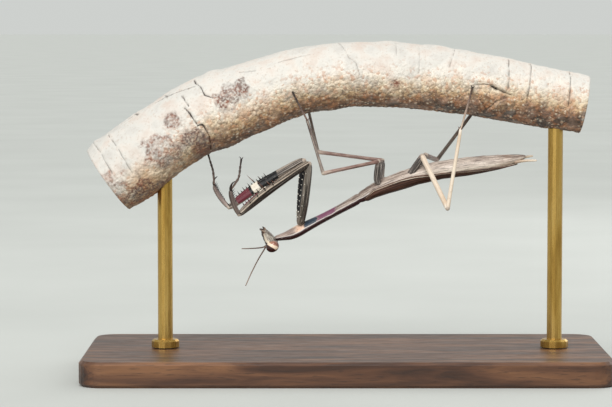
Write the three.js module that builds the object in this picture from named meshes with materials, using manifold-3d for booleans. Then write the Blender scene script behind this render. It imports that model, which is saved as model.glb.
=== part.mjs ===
// A female praying mantis of the genus Statilia, life size, hanging upside down from a cut
// length of branch that two short rods carry over a flat base. Millimetres, +Z up. The
// mantis faces -X with its back down, so its right side is the near side, towards -Y.
import * as THREE from "three";
import Module from "manifold-3d";

// ---------------------------------------------------------------- driving dimensions
const BODY_ROLL = 15; // degrees that the belly is turned towards the near side
const JOINT_GAP = 0.2; // clear gap between neighbouring pieces
const END_ROUND = 0.05; // how far into its rounded end a closed skin starts

const BASE = { length: 104, depth: 46, thickness: 5, corner: 4, bevel: 0.6 };
const ROD = { radius: 1.5, collarRadius: 2.8, collarHeight: 1.6, bevel: 0.4 };
const ROD_PLACES = { stand_rod_left: -36.2, stand_rod_right: 41.8 };

// The branch: distance along X, height of its middle, radius.
const BRANCH = [
  [-47.4, 38.8, 7.1],
  [-43.2, 41.8, 7.6],
  [-37.2, 46.3, 7.2],
  [-31.2, 50.2, 7.3],
  [-25.2, 52.8, 7.5],
  [-19.2, 55.0, 7.0],
  [-13.2, 57.2, 6.7],
  [-7.2, 58.85, 6.45],
  [0.8, 59.75, 6.4],
  [10.8, 59.6, 6.3],
  [20.8, 58.6, 6.25],
  [30.8, 56.9, 6.15],
  [40.8, 55.0, 5.9],
  [47.4, 53.85, 5.6],
];

// Middle line of the front body: X, Z, then half-width and half-depth.
const PROTHORAX = [
  [-14.0, 27.1, 0.55, 0.5],
  [-12.9, 27.35, 0.75, 0.62],
  [-11.4, 27.65, 1.35, 0.95],
  [-9.8, 28.35, 1.75, 1.1],
  [-8.4, 29.15, 1.7, 1.05],
  [-6.4, 30.2, 1.2, 0.88],
  [-3.0, 31.95, 1.0, 0.78],
  [0.4, 33.8, 1.15, 0.85],
  [2.0, 34.7, 1.35, 1.0],
  [3.1, 35.3, 1.4, 1.1],
];

// Middle line of the hind body with the folded wings on: X, Z, half-width, half-depth.
const TRUNK = [
  [3.4, 35.25, 1.35, 1.0],
  [5.6, 36.65, 1.9, 1.4],
  [7.8, 37.5, 2.1, 1.52],
  [10.8, 38.5, 2.15, 1.7],
  [13.8, 39.55, 2.15, 1.78],
  [18.8, 40.7, 2.2, 1.75],
  [23.8, 41.4, 2.3, 1.8],
  [27.8, 41.95, 2.1, 1.6],
  [30.8, 42.35, 1.7, 1.35],
  [33.8, 42.85, 1.15, 1.0],
  [36.2, 43.45, 0.35, 0.3],
];
const WAIST_X = 12.0; // where the wing-bearing thorax ends and the abdomen begins
const WING_START_X = 3.7;
const WING_TIP_X = 33.8;
const WING_THICKNESS = 0.5;
const WING_EDGE_ANGLE = 30; // degrees above the side line where the wing's costal edge lies
const WING_EDGE_STEP = 14; // degrees from that edge to where the bare side starts
const WING_OVERLAP_ANGLE = -97; // the upper wing's sutural edge, just past the middle of the back

// Legs. A direction is [slope, drift]: degrees above +X, then degrees away from the viewer.
// Left and right legs of a pair share their lengths.
const LEG_LENGTHS = {
  fore: { coxa: 12.7, femur: 17.6, tibia: 6.2, metatarsus: 2.8, toes: 3.8 },
  mid: { coxa: 4.7, femur: 13.2, tibia: 11.15, metatarsus: 2.95, toes: 3.0 },
  hind: { coxa: 4.6, femur: 14.4, tibia: 16.0, metatarsus: 4.2, toes: 4.3 },
};
const LEGS = [
  {
    pair: "fore", side: "right", hip: [-8.9, -1.25, 29.8],
    coxa: [83, -12], femur: [-145, -17], tibia: [107, -33], metatarsus: [56, 6], toes: [82, 7],
  },
  {
    pair: "fore", side: "left", hip: [-9.3, 0.75, 30.1],
    coxa: [86, -9], femur: [-148, 0], tibia: [126, 33], metatarsus: [94, -4], toes: [105, -24],
  },
  {
    pair: "mid", side: "right", hip: [6.0, -1.1, 38.0],
    coxa: [85, -15], femur: [-170, -32], tibia: [107, 13], metatarsus: [118, 1], toes: [117, 0],
  },
  {
    pair: "mid", side: "left", hip: [6.8, 0.6, 38.4],
    coxa: [82, 29], femur: [173, 9], tibia: [103, 17], metatarsus: [108, -20], toes: [106, -8],
  },
  {
    pair: "hind", side: "right", hip: [12.6, -1.3, 39.7],
    coxa: [56, -3], femur: [-65, -42], tibia: [80, 12], metatarsus: [73, 12], toes: [75, 3],
  },
  {
    pair: "hind", side: "left", hip: [13.3, 0.75, 40.3],
    coxa: [50, 25], femur: [-28, 76], tibia: [56, -34], metatarsus: [74, -12], toes: [76, -8],
  },
];

// The head: its middle, the way its mouth points and the way its face looks.
const HEAD = {
  middle: [-15.4, -0.2, 27.1],
  mouthSlope: 113,
  vertexToLip: 4.6,
  lipToMouth: 0.75,
  roll: 8, // degrees that the mouth leans towards the near side
};
const EYE = { reach: 2.15, below: 1.45, lateral: 1.0, along: 1.12, deep: 1.32 };

// How finely each kind of piece is faceted: sides round it and rings along it.
const DETAIL = {
  branch: { sides: 18, rings: 28 },
  prothorax: { sides: 12, rings: 18 },
  pterothorax: { sides: 18, rings: 9 },
  abdomen: { sides: 18, rings: 14 },
  wing: { across: 6, rings: 14 },
  cercus: { sides: 6, rings: 5 },
  head: { sides: 14, rings: 12 },
  eye: { sides: 10, rings: 8 },
  antenna: { sides: 6, rings: 11 },
  jaws: { sides: 10, rings: 6 },
  palp: { sides: 5, rings: 5 },
  foreCoxa: { sides: 10, rings: 7 },
  foreFemur: { sides: 10, rings: 12 },
  foreTibia: { sides: 8, rings: 6 },
  claw: { sides: 6, rings: 4 },
  coxa: { sides: 8, rings: 4 },
  walking: { sides: 8, rings: 5 },
  tarsus: { sides: 6, rings: 8 },
  rodSides: 14,
  spineSides: 4,
  cornerSteps: 3,
};

// ---------------------------------------------------------------- materials
const paint = (color, roughness, metalness = 0) =>
  new THREE.MeshStandardMaterial({ color, roughness, metalness });
const MATERIALS = {
  cuticle: () => paint(0x6b5648, 0.55),
  paleCuticle: () => paint(0xb9a692, 0.55),
  darkCuticle: () => paint(0x3a2c26, 0.5),
  wing: () => paint(0x4a352a, 0.5),
  eye: () => paint(0x4a1c18, 0.25),
  bark: () => paint(0xa08f82, 0.9),
  wood: () => paint(0x3b2a20, 0.4),
  brass: () => paint(0xb08d4c, 0.3, 1),
};

// ---------------------------------------------------------------- joining and cutting
const wasm = await Module();
wasm.setup();

// A solid from a closed geometry, with its faces turned out if they were laid inwards.
function toSolid(geometry) {
  const mesh = mergeByPlace(geometry);
  const solid = new wasm.Manifold(new wasm.Mesh(mesh));
  return solid.volume() > 0 ? solid : new wasm.Manifold(new wasm.Mesh(turnedOver(mesh)));
}

function turnedOver(mesh) {
  const triVerts = mesh.triVerts.slice();
  for (let start = 0; start < triVerts.length; start += 3)
    [triVerts[start + 1], triVerts[start + 2]] = [triVerts[start + 2], triVerts[start + 1]];
  return { ...mesh, triVerts };
}

// Points that share a place become one point, which closes seams and poles.
const PLACES_PER_MM = 1e4;
function mergeByPlace(geometry) {
  const position = geometry.getAttribute("position");
  const index = geometry.getIndex();
  const count = index ? index.count : position.count;
  const places = new Map();
  const vertProperties = [];
  const triVerts = [];
  const point = new THREE.Vector3();
  for (let start = 0; start < count; start += 3) {
    const corners = [0, 1, 2].map((step) => {
      point.fromBufferAttribute(position, index ? index.getX(start + step) : start + step);
      const key = point.toArray().map((value) => Math.round(value * PLACES_PER_MM)).join();
      if (!places.has(key)) {
        places.set(key, places.size);
        vertProperties.push(...point.toArray());
      }
      return places.get(key);
    });
    if (new Set(corners).size === 3) triVerts.push(...corners);
  }
  return {
    numProp: 3,
    vertProperties: new Float32Array(vertProperties),
    triVerts: new Uint32Array(triVerts),
  };
}

function toGeometry(solid) {
  const mesh = solid.getMesh();
  const geometry = new THREE.BufferGeometry();
  geometry.setAttribute("position", new THREE.BufferAttribute(mesh.vertProperties, mesh.numProp));
  geometry.setIndex(new THREE.BufferAttribute(mesh.triVerts, 1));
  return geometry;
}

// What is left of a piece once its neighbours are cut out of it: its largest body.
function trimmed(piece, ...neighbours) {
  const cut = neighbours.reduce((left, neighbour) => left.subtract(neighbour), piece);
  return cut.decompose().sort((a, b) => b.volume() - a.volume())[0];
}

const joined = (first, ...others) => others.reduce((sum, other) => sum.add(other), first);

// ---------------------------------------------------------------- shapes
const radians = THREE.MathUtils.degToRad;
const vector = (values) => new THREE.Vector3(...values);

function heading([slope, drift]) {
  const level = Math.cos(radians(drift));
  return new THREE.Vector3(
    level * Math.cos(radians(slope)),
    Math.sin(radians(drift)),
    level * Math.sin(radians(slope)),
  );
}

const BELLY = new THREE.Vector3(0, -Math.sin(radians(BODY_ROLL)), Math.cos(radians(BODY_ROLL)));

// Smooth values between the rows [t, value, value, ...].
function smooth(rows) {
  const times = rows.map((row) => row[0]);
  const values = rows.flatMap((row) => row.slice(1));
  const curve = new THREE.CubicInterpolant(times, values, rows[0].length - 1);
  return (t) => Array.from(curve.evaluate(t));
}

// The frame of a curve at t: its middle, and its directions along, up and to the side.
function station(curve, upHint, t) {
  const along = curve.getTangent(t);
  const side = upHint.clone().cross(along).normalize();
  const up = along.clone().cross(side);
  return { middle: curve.getPoint(t), along, side, up };
}

// A stretch of another curve.
class PartOfCurve extends THREE.Curve {
  constructor(whole, start, end) {
    super();
    this.whole = whole;
    this.start = start;
    this.end = end;
  }
  share(t) {
    return this.start + (this.end - this.start) * t;
  }
  getPoint(t, target) {
    return this.whole.getPoint(this.share(t), target);
  }
}

// A closed skin round a curve. size(t) gives half-width, half-height and a shift upwards;
// outline(angle, t) scales the section at an angle. Both ends are rounded over `round` mm.
function loft({ curve, up, size, sides, rings, round = 0, swell = 0, outline = () => 1 }) {
  const geometry = new THREE.CylinderGeometry(1, 1, 1, sides, rings);
  const position = geometry.getAttribute("position");
  const length = curve.getLength();
  for (let index = 0; index < position.count; index++) {
    const level = 0.5 - position.getY(index);
    const t = round > 0 ? (1 - Math.cos(Math.PI * level)) / 2 : level;
    const { middle, along, side, up: high } = station(curve, up, t);
    const [width, height, shift = 0] = size(t);
    const fromEnd = Math.min(t, 1 - t) * length;
    const inside = round > 0 ? Math.min(1, Math.max(END_ROUND, fromEnd / round)) : 1;
    const dome = Math.sqrt(1 - (1 - inside) ** 2);
    const across = position.getX(index);
    const over = position.getZ(index);
    const scale = dome * outline(Math.atan2(over, across), t);
    middle.addScaledVector(along, swell * (2 * t - 1));
    middle.addScaledVector(side, across * (width * scale + swell));
    middle.addScaledVector(high, over * (height * scale + swell) + shift);
    position.setXYZ(index, ...middle.toArray());
  }
  return toSolid(geometry);
}

// A cone that grows out of a surface, for a spine.
function spine(foot, direction, length, radius) {
  const geometry = new THREE.ConeGeometry(radius, length, DETAIL.spineSides);
  geometry.translate(0, length / 2, 0);
  const turn = new THREE.Quaternion().setFromUnitVectors(
    new THREE.Vector3(0, 1, 0),
    direction.clone().normalize(),
  );
  geometry.applyQuaternion(turn);
  geometry.translate(...foot.toArray());
  return toSolid(geometry);
}

const model = new THREE.Group();

function addNode(name, solid, material) {
  const mesh = new THREE.Mesh(toGeometry(solid), material());
  mesh.name = name;
  model.add(mesh);
}

// ---------------------------------------------------------------- branch and stand
const branchCurve = new THREE.CatmullRomCurve3(BRANCH.map(([x, z]) => vector([x, 0, z])));

// Low swellings that run round and along the bark.
const BARK_SWELLING = 0.02;
function barkOutline(angle, t) {
  const lengthwise = Math.sin(3 * angle + 9 * t);
  const crosswise = Math.sin(31 * t + 2 * angle);
  return 1 + BARK_SWELLING * (lengthwise + crosswise) * 0.5;
}

function branchSolid(swell) {
  const last = BRANCH.length - 1;
  const radius = smooth(BRANCH.map((row, index) => [index / last, row[2]]));
  return loft({
    curve: branchCurve,
    up: new THREE.Vector3(0, -1, 0),
    size: (t) => [radius(t)[0], radius(t)[0]],
    ...DETAIL.branch,
    swell,
    outline: barkOutline,
  });
}

function roundedBase() {
  const { length, depth, thickness, corner, bevel } = BASE;
  const right = length / 2 - bevel;
  const back = depth / 2 - bevel;
  const shape = new THREE.Shape();
  shape.moveTo(-right + corner, -back);
  shape.lineTo(right - corner, -back);
  shape.absarc(right - corner, -back + corner, corner, -Math.PI / 2, 0);
  shape.absarc(right - corner, back - corner, corner, 0, Math.PI / 2);
  shape.absarc(-right + corner, back - corner, corner, Math.PI / 2, Math.PI);
  shape.absarc(-right + corner, -back + corner, corner, Math.PI, 1.5 * Math.PI);
  const geometry = new THREE.ExtrudeGeometry(shape, {
    depth: thickness - 2 * bevel,
    bevelSize: bevel,
    bevelThickness: bevel,
    bevelSegments: 1,
    curveSegments: DETAIL.cornerSteps,
  });
  geometry.translate(0, 0, bevel);
  return toSolid(geometry);
}

// A rod with a collar at its foot, long enough to reach into the branch, where it is cut.
function rodSolid(x, branch) {
  const { radius, collarRadius, collarHeight, bevel } = ROD;
  const foot = BASE.thickness + JOINT_GAP;
  const top = branchHeight(x);
  const profile = [
    [0, foot],
    [collarRadius, foot],
    [collarRadius, foot + collarHeight - bevel],
    [collarRadius - bevel, foot + collarHeight],
    [radius, foot + collarHeight],
    [radius, top],
    [0, top],
  ].map(([r, z]) => new THREE.Vector2(r, z));
  const geometry = new THREE.LatheGeometry(profile, DETAIL.rodSides);
  geometry.rotateX(Math.PI / 2);
  geometry.translate(x, 0, 0);
  return trimmed(toSolid(geometry), branch);
}

function branchHeight(x) {
  const next = BRANCH.findIndex((row) => row[0] > x);
  const [x0, z0] = BRANCH[next - 1];
  const [x1, z1] = BRANCH[next];
  return z0 + ((z1 - z0) * (x - x0)) / (x1 - x0);
}

function buildStand() {
  addNode("branch", branchSolid(0), MATERIALS.bark);
  addNode("stand_base", roundedBase(), MATERIALS.wood);
  const branch = branchSolid(JOINT_GAP);
  for (const [name, x] of Object.entries(ROD_PLACES))
    addNode(name, rodSolid(x, branch), MATERIALS.brass);
}

// ---------------------------------------------------------------- body
const bodyCurve = (rows) =>
  new THREE.CatmullRomCurve3(rows.map(([x, z]) => vector([x, 0, z])));

function bodySize(rows) {
  const last = rows.length - 1;
  return smooth(rows.map(([, , width, depth], index) => [index / last, width, depth]));
}

// The share of the trunk's curve at which it reaches x.
function trunkShare(x) {
  const next = Math.max(1, TRUNK.findIndex((row) => row[0] >= x));
  const [x0] = TRUNK[next - 1];
  const [x1] = TRUNK[next];
  return (next - 1 + (x - x0) / (x1 - x0)) / (TRUNK.length - 1);
}

function prothoraxSolid(swell) {
  return loft({
    curve: bodyCurve(PROTHORAX),
    up: BELLY,
    size: bodySize(PROTHORAX),
    ...DETAIL.prothorax,
    round: 0.5,
    swell,
  });
}

// The flesh under the wings is narrower than what shows between the costal edges.
const UNDER_WING = WING_THICKNESS + JOINT_GAP;
const BARE_FROM = Math.sin(radians(WING_EDGE_ANGLE + WING_EDGE_STEP));
function fleshOutline(angle, reach) {
  return Math.sin(angle) > BARE_FROM ? 1 : 1 - UNDER_WING / reach;
}

function trunkPiece(fromX, toX, detail, swell = 0) {
  const whole = bodyCurve(TRUNK);
  const start = trunkShare(fromX);
  const end = trunkShare(toX);
  const size = bodySize(TRUNK);
  const part = new PartOfCurve(whole, start, end);
  return loft({
    curve: part,
    up: BELLY,
    size: (t) => size(part.share(t)),
    ...detail,
    round: 0.7,
    swell,
    outline: (angle, t) => fleshOutline(angle, size(part.share(t))[1]),
  });
}

// A folded fore wing: a curved plate from its costal edge down round the side to the
// middle of the back, following the trunk and tapering to a rounded tip. Angles are in
// degrees round the trunk, with 0 at the side and -90 in the middle of the back.
const WING = {
  tipMiddle: -63, // where both edges meet at the tip
  seamShift: 14, // how much sooner the lower wing stops than the one that lies over it
  rootStretch: 0.06, // share of the length over which the root widens
  tipStretch: 0.22, // share of the length over which the tip closes
  leastShare: 0.06, // how much of the width is left at the very ends
};

function wingSolid(nearSide, swell = 0) {
  const whole = bodyCurve(TRUNK);
  const size = bodySize(TRUNK);
  const part = new PartOfCurve(whole, trunkShare(WING_START_X), trunkShare(WING_TIP_X));
  const seamEnd = nearSide ? WING_OVERLAP_ANGLE + WING.seamShift : WING_OVERLAP_ANGLE;
  const hand = nearSide ? -1 : 1;
  const geometry = new THREE.BoxGeometry(1, 1, 1, DETAIL.wing.rings, DETAIL.wing.across, 1);
  const position = geometry.getAttribute("position");
  for (let index = 0; index < position.count; index++) {
    const t = position.getX(index) + 0.5;
    const { middle, side, up } = station(part, BELLY, t);
    const [width, depth] = size(part.share(t));
    const share = wingShare(t);
    const margin = THREE.MathUtils.radToDeg(swell / width);
    const edge = THREE.MathUtils.lerp(WING.tipMiddle, WING_EDGE_ANGLE, share) + margin;
    const seam = THREE.MathUtils.lerp(WING.tipMiddle, seamEnd, share) - margin;
    const angle = radians(THREE.MathUtils.lerp(seam, edge, position.getY(index) + 0.5));
    const inset = position.getZ(index) > 0 ? -swell : WING_THICKNESS + swell;
    middle.addScaledVector(side, hand * Math.cos(angle) * (width - inset));
    middle.addScaledVector(up, Math.sin(angle) * (depth - inset));
    position.setXYZ(index, ...middle.toArray());
  }
  return toSolid(geometry);
}

// How much of its full width the wing has at t: less at the root and towards the tip.
function wingShare(t) {
  const root = Math.min(1, t / WING.rootStretch + 0.5);
  const tip = Math.min(1, (1 - t) / WING.tipStretch);
  const share = Math.sqrt(root) * Math.sqrt(1 - (1 - tip) ** 2);
  return WING.leastShare + (1 - WING.leastShare) * share;
}

const CERCI = {
  cercus_right: { root: [33.9, -0.8, 42.35], tip: [38.0, -1.7, 42.7] },
  cercus_left: { root: [34.4, 0.65, 42.9], tip: [37.5, 1.6, 43.45] },
};

function cercusSolid({ root, tip }, body) {
  return trimmed(
    loft({
      curve: new THREE.LineCurve3(vector(root), vector(tip)),
      up: BELLY,
      size: (t) => [0.3 - 0.06 * t, 0.3 - 0.06 * t],
      ...DETAIL.cercus,
      round: 0.3,
    }),
    body,
  );
}

const pterothoraxSolid = (swell) =>
  trunkPiece(TRUNK[0][0], WAIST_X, DETAIL.pterothorax, swell);
const abdomenSolid = (swell) =>
  trunkPiece(WAIST_X + JOINT_GAP, TRUNK.at(-1)[0], DETAIL.abdomen, swell);

function buildBody() {
  addNode("prothorax", trimmed(prothoraxSolid(0), headSolid(JOINT_GAP)), MATERIALS.cuticle);
  addNode("pterothorax", pterothoraxSolid(0), MATERIALS.paleCuticle);
  addNode("abdomen", abdomenSolid(0), MATERIALS.paleCuticle);
  addNode("tegmen_right", wingSolid(true), MATERIALS.wing);
  addNode("tegmen_left", wingSolid(false), MATERIALS.wing);
  const abdomen = abdomenSolid(JOINT_GAP);
  for (const [name, cercus] of Object.entries(CERCI))
    addNode(name, cercusSolid(cercus, abdomen), MATERIALS.paleCuticle);
}

// ---------------------------------------------------------------- head
// Distance from the vertex as a share, half-width, half-depth and shift towards the face.
const HEAD_SECTIONS = [
  [0.0, 1.0, 0.45, 0.0],
  [0.12, 1.5, 0.85, -0.05],
  [0.3, 1.75, 1.1, -0.08],
  [0.5, 1.6, 1.12, -0.05],
  [0.7, 1.2, 0.95, 0.1],
  [0.88, 0.85, 0.75, 0.28],
  [1.0, 0.7, 0.6, 0.38],
];
const headAxis = heading([HEAD.mouthSlope, -HEAD.roll]);
const headMiddle = vector(HEAD.middle);
const headAcross = new THREE.Vector3(0, 1, 0).cross(headAxis).cross(headAxis).negate().normalize();
const headFace = headAxis.clone().cross(headAcross).normalize();

const headPoint = (towardsMouth, towardsFace, towardsLeft) =>
  headMiddle
    .clone()
    .addScaledVector(headAxis, towardsMouth)
    .addScaledVector(headFace, towardsFace)
    .addScaledVector(headAcross, towardsLeft);

const HEAD_TOP = -(HEAD.vertexToLip + HEAD.lipToMouth) / 2;
const HEAD_LIP = HEAD_TOP + HEAD.vertexToLip;

function headSolid(swell) {
  return loft({
    curve: new THREE.LineCurve3(headPoint(HEAD_TOP, 0, 0), headPoint(HEAD_LIP, 0, 0)),
    up: headFace,
    size: smooth(HEAD_SECTIONS),
    ...DETAIL.head,
    round: 0.6,
    swell,
  });
}

function eyeSolid(hand, head) {
  const geometry = new THREE.SphereGeometry(1, DETAIL.eye.sides, DETAIL.eye.rings);
  const position = geometry.getAttribute("position");
  for (let index = 0; index < position.count; index++) {
    const place = headPoint(
      -EYE.below + position.getY(index) * EYE.along,
      -0.05 + position.getZ(index) * EYE.deep,
      hand * EYE.reach + position.getX(index) * EYE.lateral,
    );
    position.setXYZ(index, ...place.toArray());
  }
  return trimmed(toSolid(geometry), head);
}

// The feelers: each a curve from the face between the eyes.
const ANTENNAE = {
  antenna_right: [[-16.2, -0.6, 25.1], [-17.5, -2.0, 23.0], [-18.8, -4.6, 20.6], [-19.9, -7.6, 18.3]],
  antenna_left: [[-16.2, 0.5, 25.2], [-18.0, 1.6, 24.9], [-19.8, 3.9, 24.6], [-21.0, 7.2, 24.3]],
};

function antennaSolid(points, head) {
  return trimmed(
    loft({
      curve: new THREE.CatmullRomCurve3(points.map(vector)),
      up: headAxis,
      size: (t) => [0.3 - 0.05 * t, 0.3 - 0.05 * t],
      ...DETAIL.antenna,
      round: 0.25,
    }),
    head,
  );
}

// Labrum and jaws as one small block, with a palp on each side.
function mouthSolid(head) {
  const jaws = loft({
    curve: new THREE.LineCurve3(
      headPoint(HEAD_LIP - 0.3, 0.35, 0),
      headPoint(HEAD_LIP + HEAD.lipToMouth, 0.5, 0),
    ),
    up: headFace,
    size: (t) => [0.68 - 0.2 * t, 0.5 - 0.1 * t],
    ...DETAIL.jaws,
    round: 0.35,
  });
  const palps = [-1, 1].map((hand) =>
    loft({
      curve: new THREE.CatmullRomCurve3([
        headPoint(HEAD_LIP + 0.15, 0.1, hand * 0.4),
        headPoint(HEAD_LIP + 0.2, -0.45, hand * 0.75),
        headPoint(HEAD_LIP + 0.8, -0.35, hand * 0.85),
      ]),
      up: headAcross,
      size: () => [0.25, 0.25],
      ...DETAIL.palp,
      round: 0.24,
    }),
  );
  return trimmed(joined(jaws, ...palps), head);
}

function buildHead() {
  const head = headSolid(0);
  const cutter = headSolid(JOINT_GAP / 2);
  addNode("head", head, MATERIALS.cuticle);
  addNode("eye_right", eyeSolid(-1, cutter), MATERIALS.eye);
  addNode("eye_left", eyeSolid(1, cutter), MATERIALS.eye);
  addNode("mouthparts", mouthSolid(cutter), MATERIALS.darkCuticle);
  for (const [name, points] of Object.entries(ANTENNAE))
    addNode(name, antennaSolid(points, cutter), MATERIALS.darkCuticle);
}

// ---------------------------------------------------------------- legs
// The joints of a leg, from its hip to its claws.
function legJoints(leg) {
  const lengths = LEG_LENGTHS[leg.pair];
  const joints = [vector(leg.hip)];
  for (const segment of ["coxa", "femur", "tibia", "metatarsus", "toes"])
    joints.push(joints.at(-1).clone().addScaledVector(heading(leg[segment]), lengths[segment]));
  return joints;
}

// A straight segment between two joints that stops short of each by a gap.
function segmentCurve(from, to, startGap, endGap) {
  const along = to.clone().sub(from).normalize();
  return new THREE.LineCurve3(
    from.clone().addScaledVector(along, startGap),
    to.clone().addScaledVector(along, -endGap),
  );
}

// The upward direction of a segment: the part of `towards` that is square to it.
function squareTo(curve, towards) {
  const along = curve.getTangent(0.5);
  return towards.clone().addScaledVector(along, -towards.dot(along)).normalize();
}

const FORE_SIZES = {
  coxa: smooth([[0, 0.6, 0.65, 0], [0.3, 0.78, 0.95, 0], [0.7, 0.74, 0.9, 0], [1, 0.5, 0.65, 0]]),
  femur: smooth([
    [0, 0.5, 0.62, 0.25],
    [0.12, 0.58, 0.85, 0.38],
    [0.3, 0.62, 0.9, 0.55],
    [0.56, 0.66, 1.12, 0.68],
    [0.72, 0.64, 1.12, 0.55],
    [0.87, 0.55, 0.92, 0.25],
    [1, 0.42, 0.6, 0],
  ]),
  tibia: smooth([[0, 0.36, 0.42, 0], [0.2, 0.42, 0.5, 0], [0.7, 0.42, 0.5, 0], [1, 0.3, 0.36, 0]]),
};

function foreCoxa(joints, toFemur, swell = 0) {
  const curve = segmentCurve(joints[0], joints[1], 0, JOINT_GAP);
  return loft({
    curve, up: squareTo(curve, toFemur), size: FORE_SIZES.coxa,
    ...DETAIL.foreCoxa, round: 0.6, swell,
  });
}

// Spines of the femur: place along it, which row, length. Rows run along the grip's two edges.
const FEMUR_SPINES = [
  ...[0.52, 0.65, 0.78].map((place) => ({ place, row: 1, length: 1.5 })),
  ...[0.46, 0.56, 0.66, 0.76, 0.86].map((place) => ({ place, row: -1, length: 1.1 })),
  { place: 0.47, row: 0, length: 2.0 },
];
const TIBIA_TEETH = [0.3, 0.55, 0.8];
const SPINE_RADIUS = 0.24;

function withSpines(solid, curve, up, size, hand, spines) {
  const lean = 0.45;
  const cones = spines.map(({ place, row, length }) => {
    const { middle, along, side, up: grip } = station(curve, up, place);
    const [width, height, shift] = size(place);
    const foot = middle
      .addScaledVector(grip, shift + height * 0.72)
      .addScaledVector(side, hand * row * width * 0.5);
    const direction = grip
      .clone()
      .addScaledVector(along, lean)
      .addScaledVector(side, hand * row * 0.25);
    return spine(foot, direction, length + height * 0.28, SPINE_RADIUS);
  });
  return joined(solid, ...cones);
}

function foreFemur(joints, toTibia, hand, swell = 0) {
  const curve = segmentCurve(joints[1], joints[2], JOINT_GAP, JOINT_GAP);
  const up = squareTo(curve, toTibia);
  const plain = loft({
    curve, up, size: FORE_SIZES.femur, ...DETAIL.foreFemur, round: 0.6, swell,
  });
  if (swell > 0) return plain;
  return withSpines(plain, curve, up, FORE_SIZES.femur, hand, FEMUR_SPINES);
}

const TIBIA_BOW = 0.35; // how far the middle of the tibia bows away from the femur
const CLAW = { length: 2.0, curl: 1.3, radius: 0.3, tip: 0.12 };

function foreTibia(joints, toHip, hand, swell = 0) {
  const straight = segmentCurve(joints[2], joints[3], JOINT_GAP, 0);
  const up = squareTo(straight, toHip);
  const curve = new THREE.QuadraticBezierCurve3(
    straight.v1,
    straight.getPoint(0.5).addScaledVector(up, -2 * TIBIA_BOW),
    straight.v2,
  );
  const shaft = loft({
    curve, up, size: FORE_SIZES.tibia, ...DETAIL.foreTibia, round: 0.4, swell,
  });
  const along = curve.getTangent(1);
  const end = curve.getPoint(0.96).addScaledVector(up, 0.1);
  const claw = loft({
    curve: new THREE.QuadraticBezierCurve3(
      end,
      end.clone().addScaledVector(along, CLAW.length * 0.6),
      end.clone().addScaledVector(along, CLAW.length).addScaledVector(up, CLAW.curl),
    ),
    up,
    size: (t) => [
      THREE.MathUtils.lerp(CLAW.radius, CLAW.tip, t),
      THREE.MathUtils.lerp(CLAW.radius, CLAW.tip, t),
    ],
    ...DETAIL.claw,
    round: 0.2,
    swell,
  });
  if (swell > 0) return joined(shaft, claw);
  const teeth = TIBIA_TEETH.flatMap((place) =>
    [-1, 1].map((row) => ({ place, row, length: 0.55 + 0.3 * place })),
  );
  return joined(withSpines(shaft, curve, up, FORE_SIZES.tibia, hand, teeth), claw);
}

const WALKING_SIZES = {
  mid: { coxa: 0.68, hip: 0.42, femur: 0.36, knee: 0.4, tibia: 0.29, ankle: 0.27 },
  hind: { coxa: 0.72, hip: 0.56, femur: 0.52, knee: 0.47, tibia: 0.37, ankle: 0.3 },
};

// A walking leg's segment: from one thickness to another, a little slimmer between.
function walkingSegment(curve, first, waist, last, detail, swell = 0) {
  const size = smooth([
    [0, first, first],
    [0.35, waist, waist],
    [0.85, waist, waist],
    [1, last, last],
  ]);
  return loft({
    curve, up: sideways(curve), size, ...detail, round: Math.min(first, last), swell,
  });
}

// A direction that is never along the curve.
function sideways(curve) {
  const along = curve.getTangent(0.5);
  return Math.abs(along.y) > 0.8 ? new THREE.Vector3(0, 0, 1) : new THREE.Vector3(0, 1, 0);
}

// The tarsus: five short joints, thicker at each pad, ending in a small blunt foot.
const TARSUS = { radius: 0.27, pad: 0.05, joints: 5 };

function tarsusSolid(joints, startGap) {
  const [, , , ankle, bend, foot] = joints;
  const along = bend.clone().sub(ankle).normalize();
  return loft({
    curve: new THREE.CatmullRomCurve3([
      ankle.clone().addScaledVector(along, startGap),
      bend,
      foot,
    ]),
    up: sideways(new THREE.LineCurve3(ankle, foot)),
    size: (t) => {
      const swell = TARSUS.pad * Math.abs(Math.sin(Math.PI * TARSUS.joints * t));
      return [TARSUS.radius + swell, TARSUS.radius + swell];
    },
    ...DETAIL.tarsus,
    round: 0.25,
  });
}

function foreLeg(leg, thorax) {
  const joints = legJoints(leg);
  const directions = joints.slice(1).map((joint, index) => joint.clone().sub(joints[index]));
  const [, femurWay, tibiaWay] = directions;
  const hand = leg.side === "right" ? 1 : -1;
  const coxa = foreCoxa(joints, femurWay);
  const coxaCutter = foreCoxa(joints, femurWay, JOINT_GAP);
  const femurCutter = foreFemur(joints, tibiaWay, hand, JOINT_GAP);
  const back = femurWay.clone().negate();
  const tibiaCutter = foreTibia(joints, back, hand, JOINT_GAP);
  return {
    coxa: trimmed(coxa, thorax),
    femur: trimmed(foreFemur(joints, tibiaWay, hand), coxaCutter),
    tibia: trimmed(foreTibia(joints, back, hand), femurCutter),
    tarsus: trimmed(tarsusSolid(joints, JOINT_GAP), tibiaCutter),
  };
}

function walkingLeg(leg, thorax) {
  const joints = legJoints(leg);
  const between = (index) =>
    segmentCurve(joints[index], joints[index + 1], JOINT_GAP / 2, JOINT_GAP / 2);
  const { coxa: hipwards, hip, femur: thigh, knee, tibia: shin, ankle } = WALKING_SIZES[leg.pair];
  const coxa = (swell) => walkingSegment(between(0), hipwards, hipwards, hip, DETAIL.coxa, swell);
  const femur = (swell) => walkingSegment(between(1), hip, thigh, knee, DETAIL.walking, swell);
  const tibia = (swell) => walkingSegment(between(2), knee, shin, ankle, DETAIL.walking, swell);
  return {
    coxa: trimmed(coxa(0), thorax),
    femur: trimmed(femur(0), coxa(JOINT_GAP)),
    tibia: trimmed(tibia(0), femur(JOINT_GAP)),
    tarsus: trimmed(tarsusSolid(joints, 0), tibia(JOINT_GAP)),
  };
}

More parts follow.
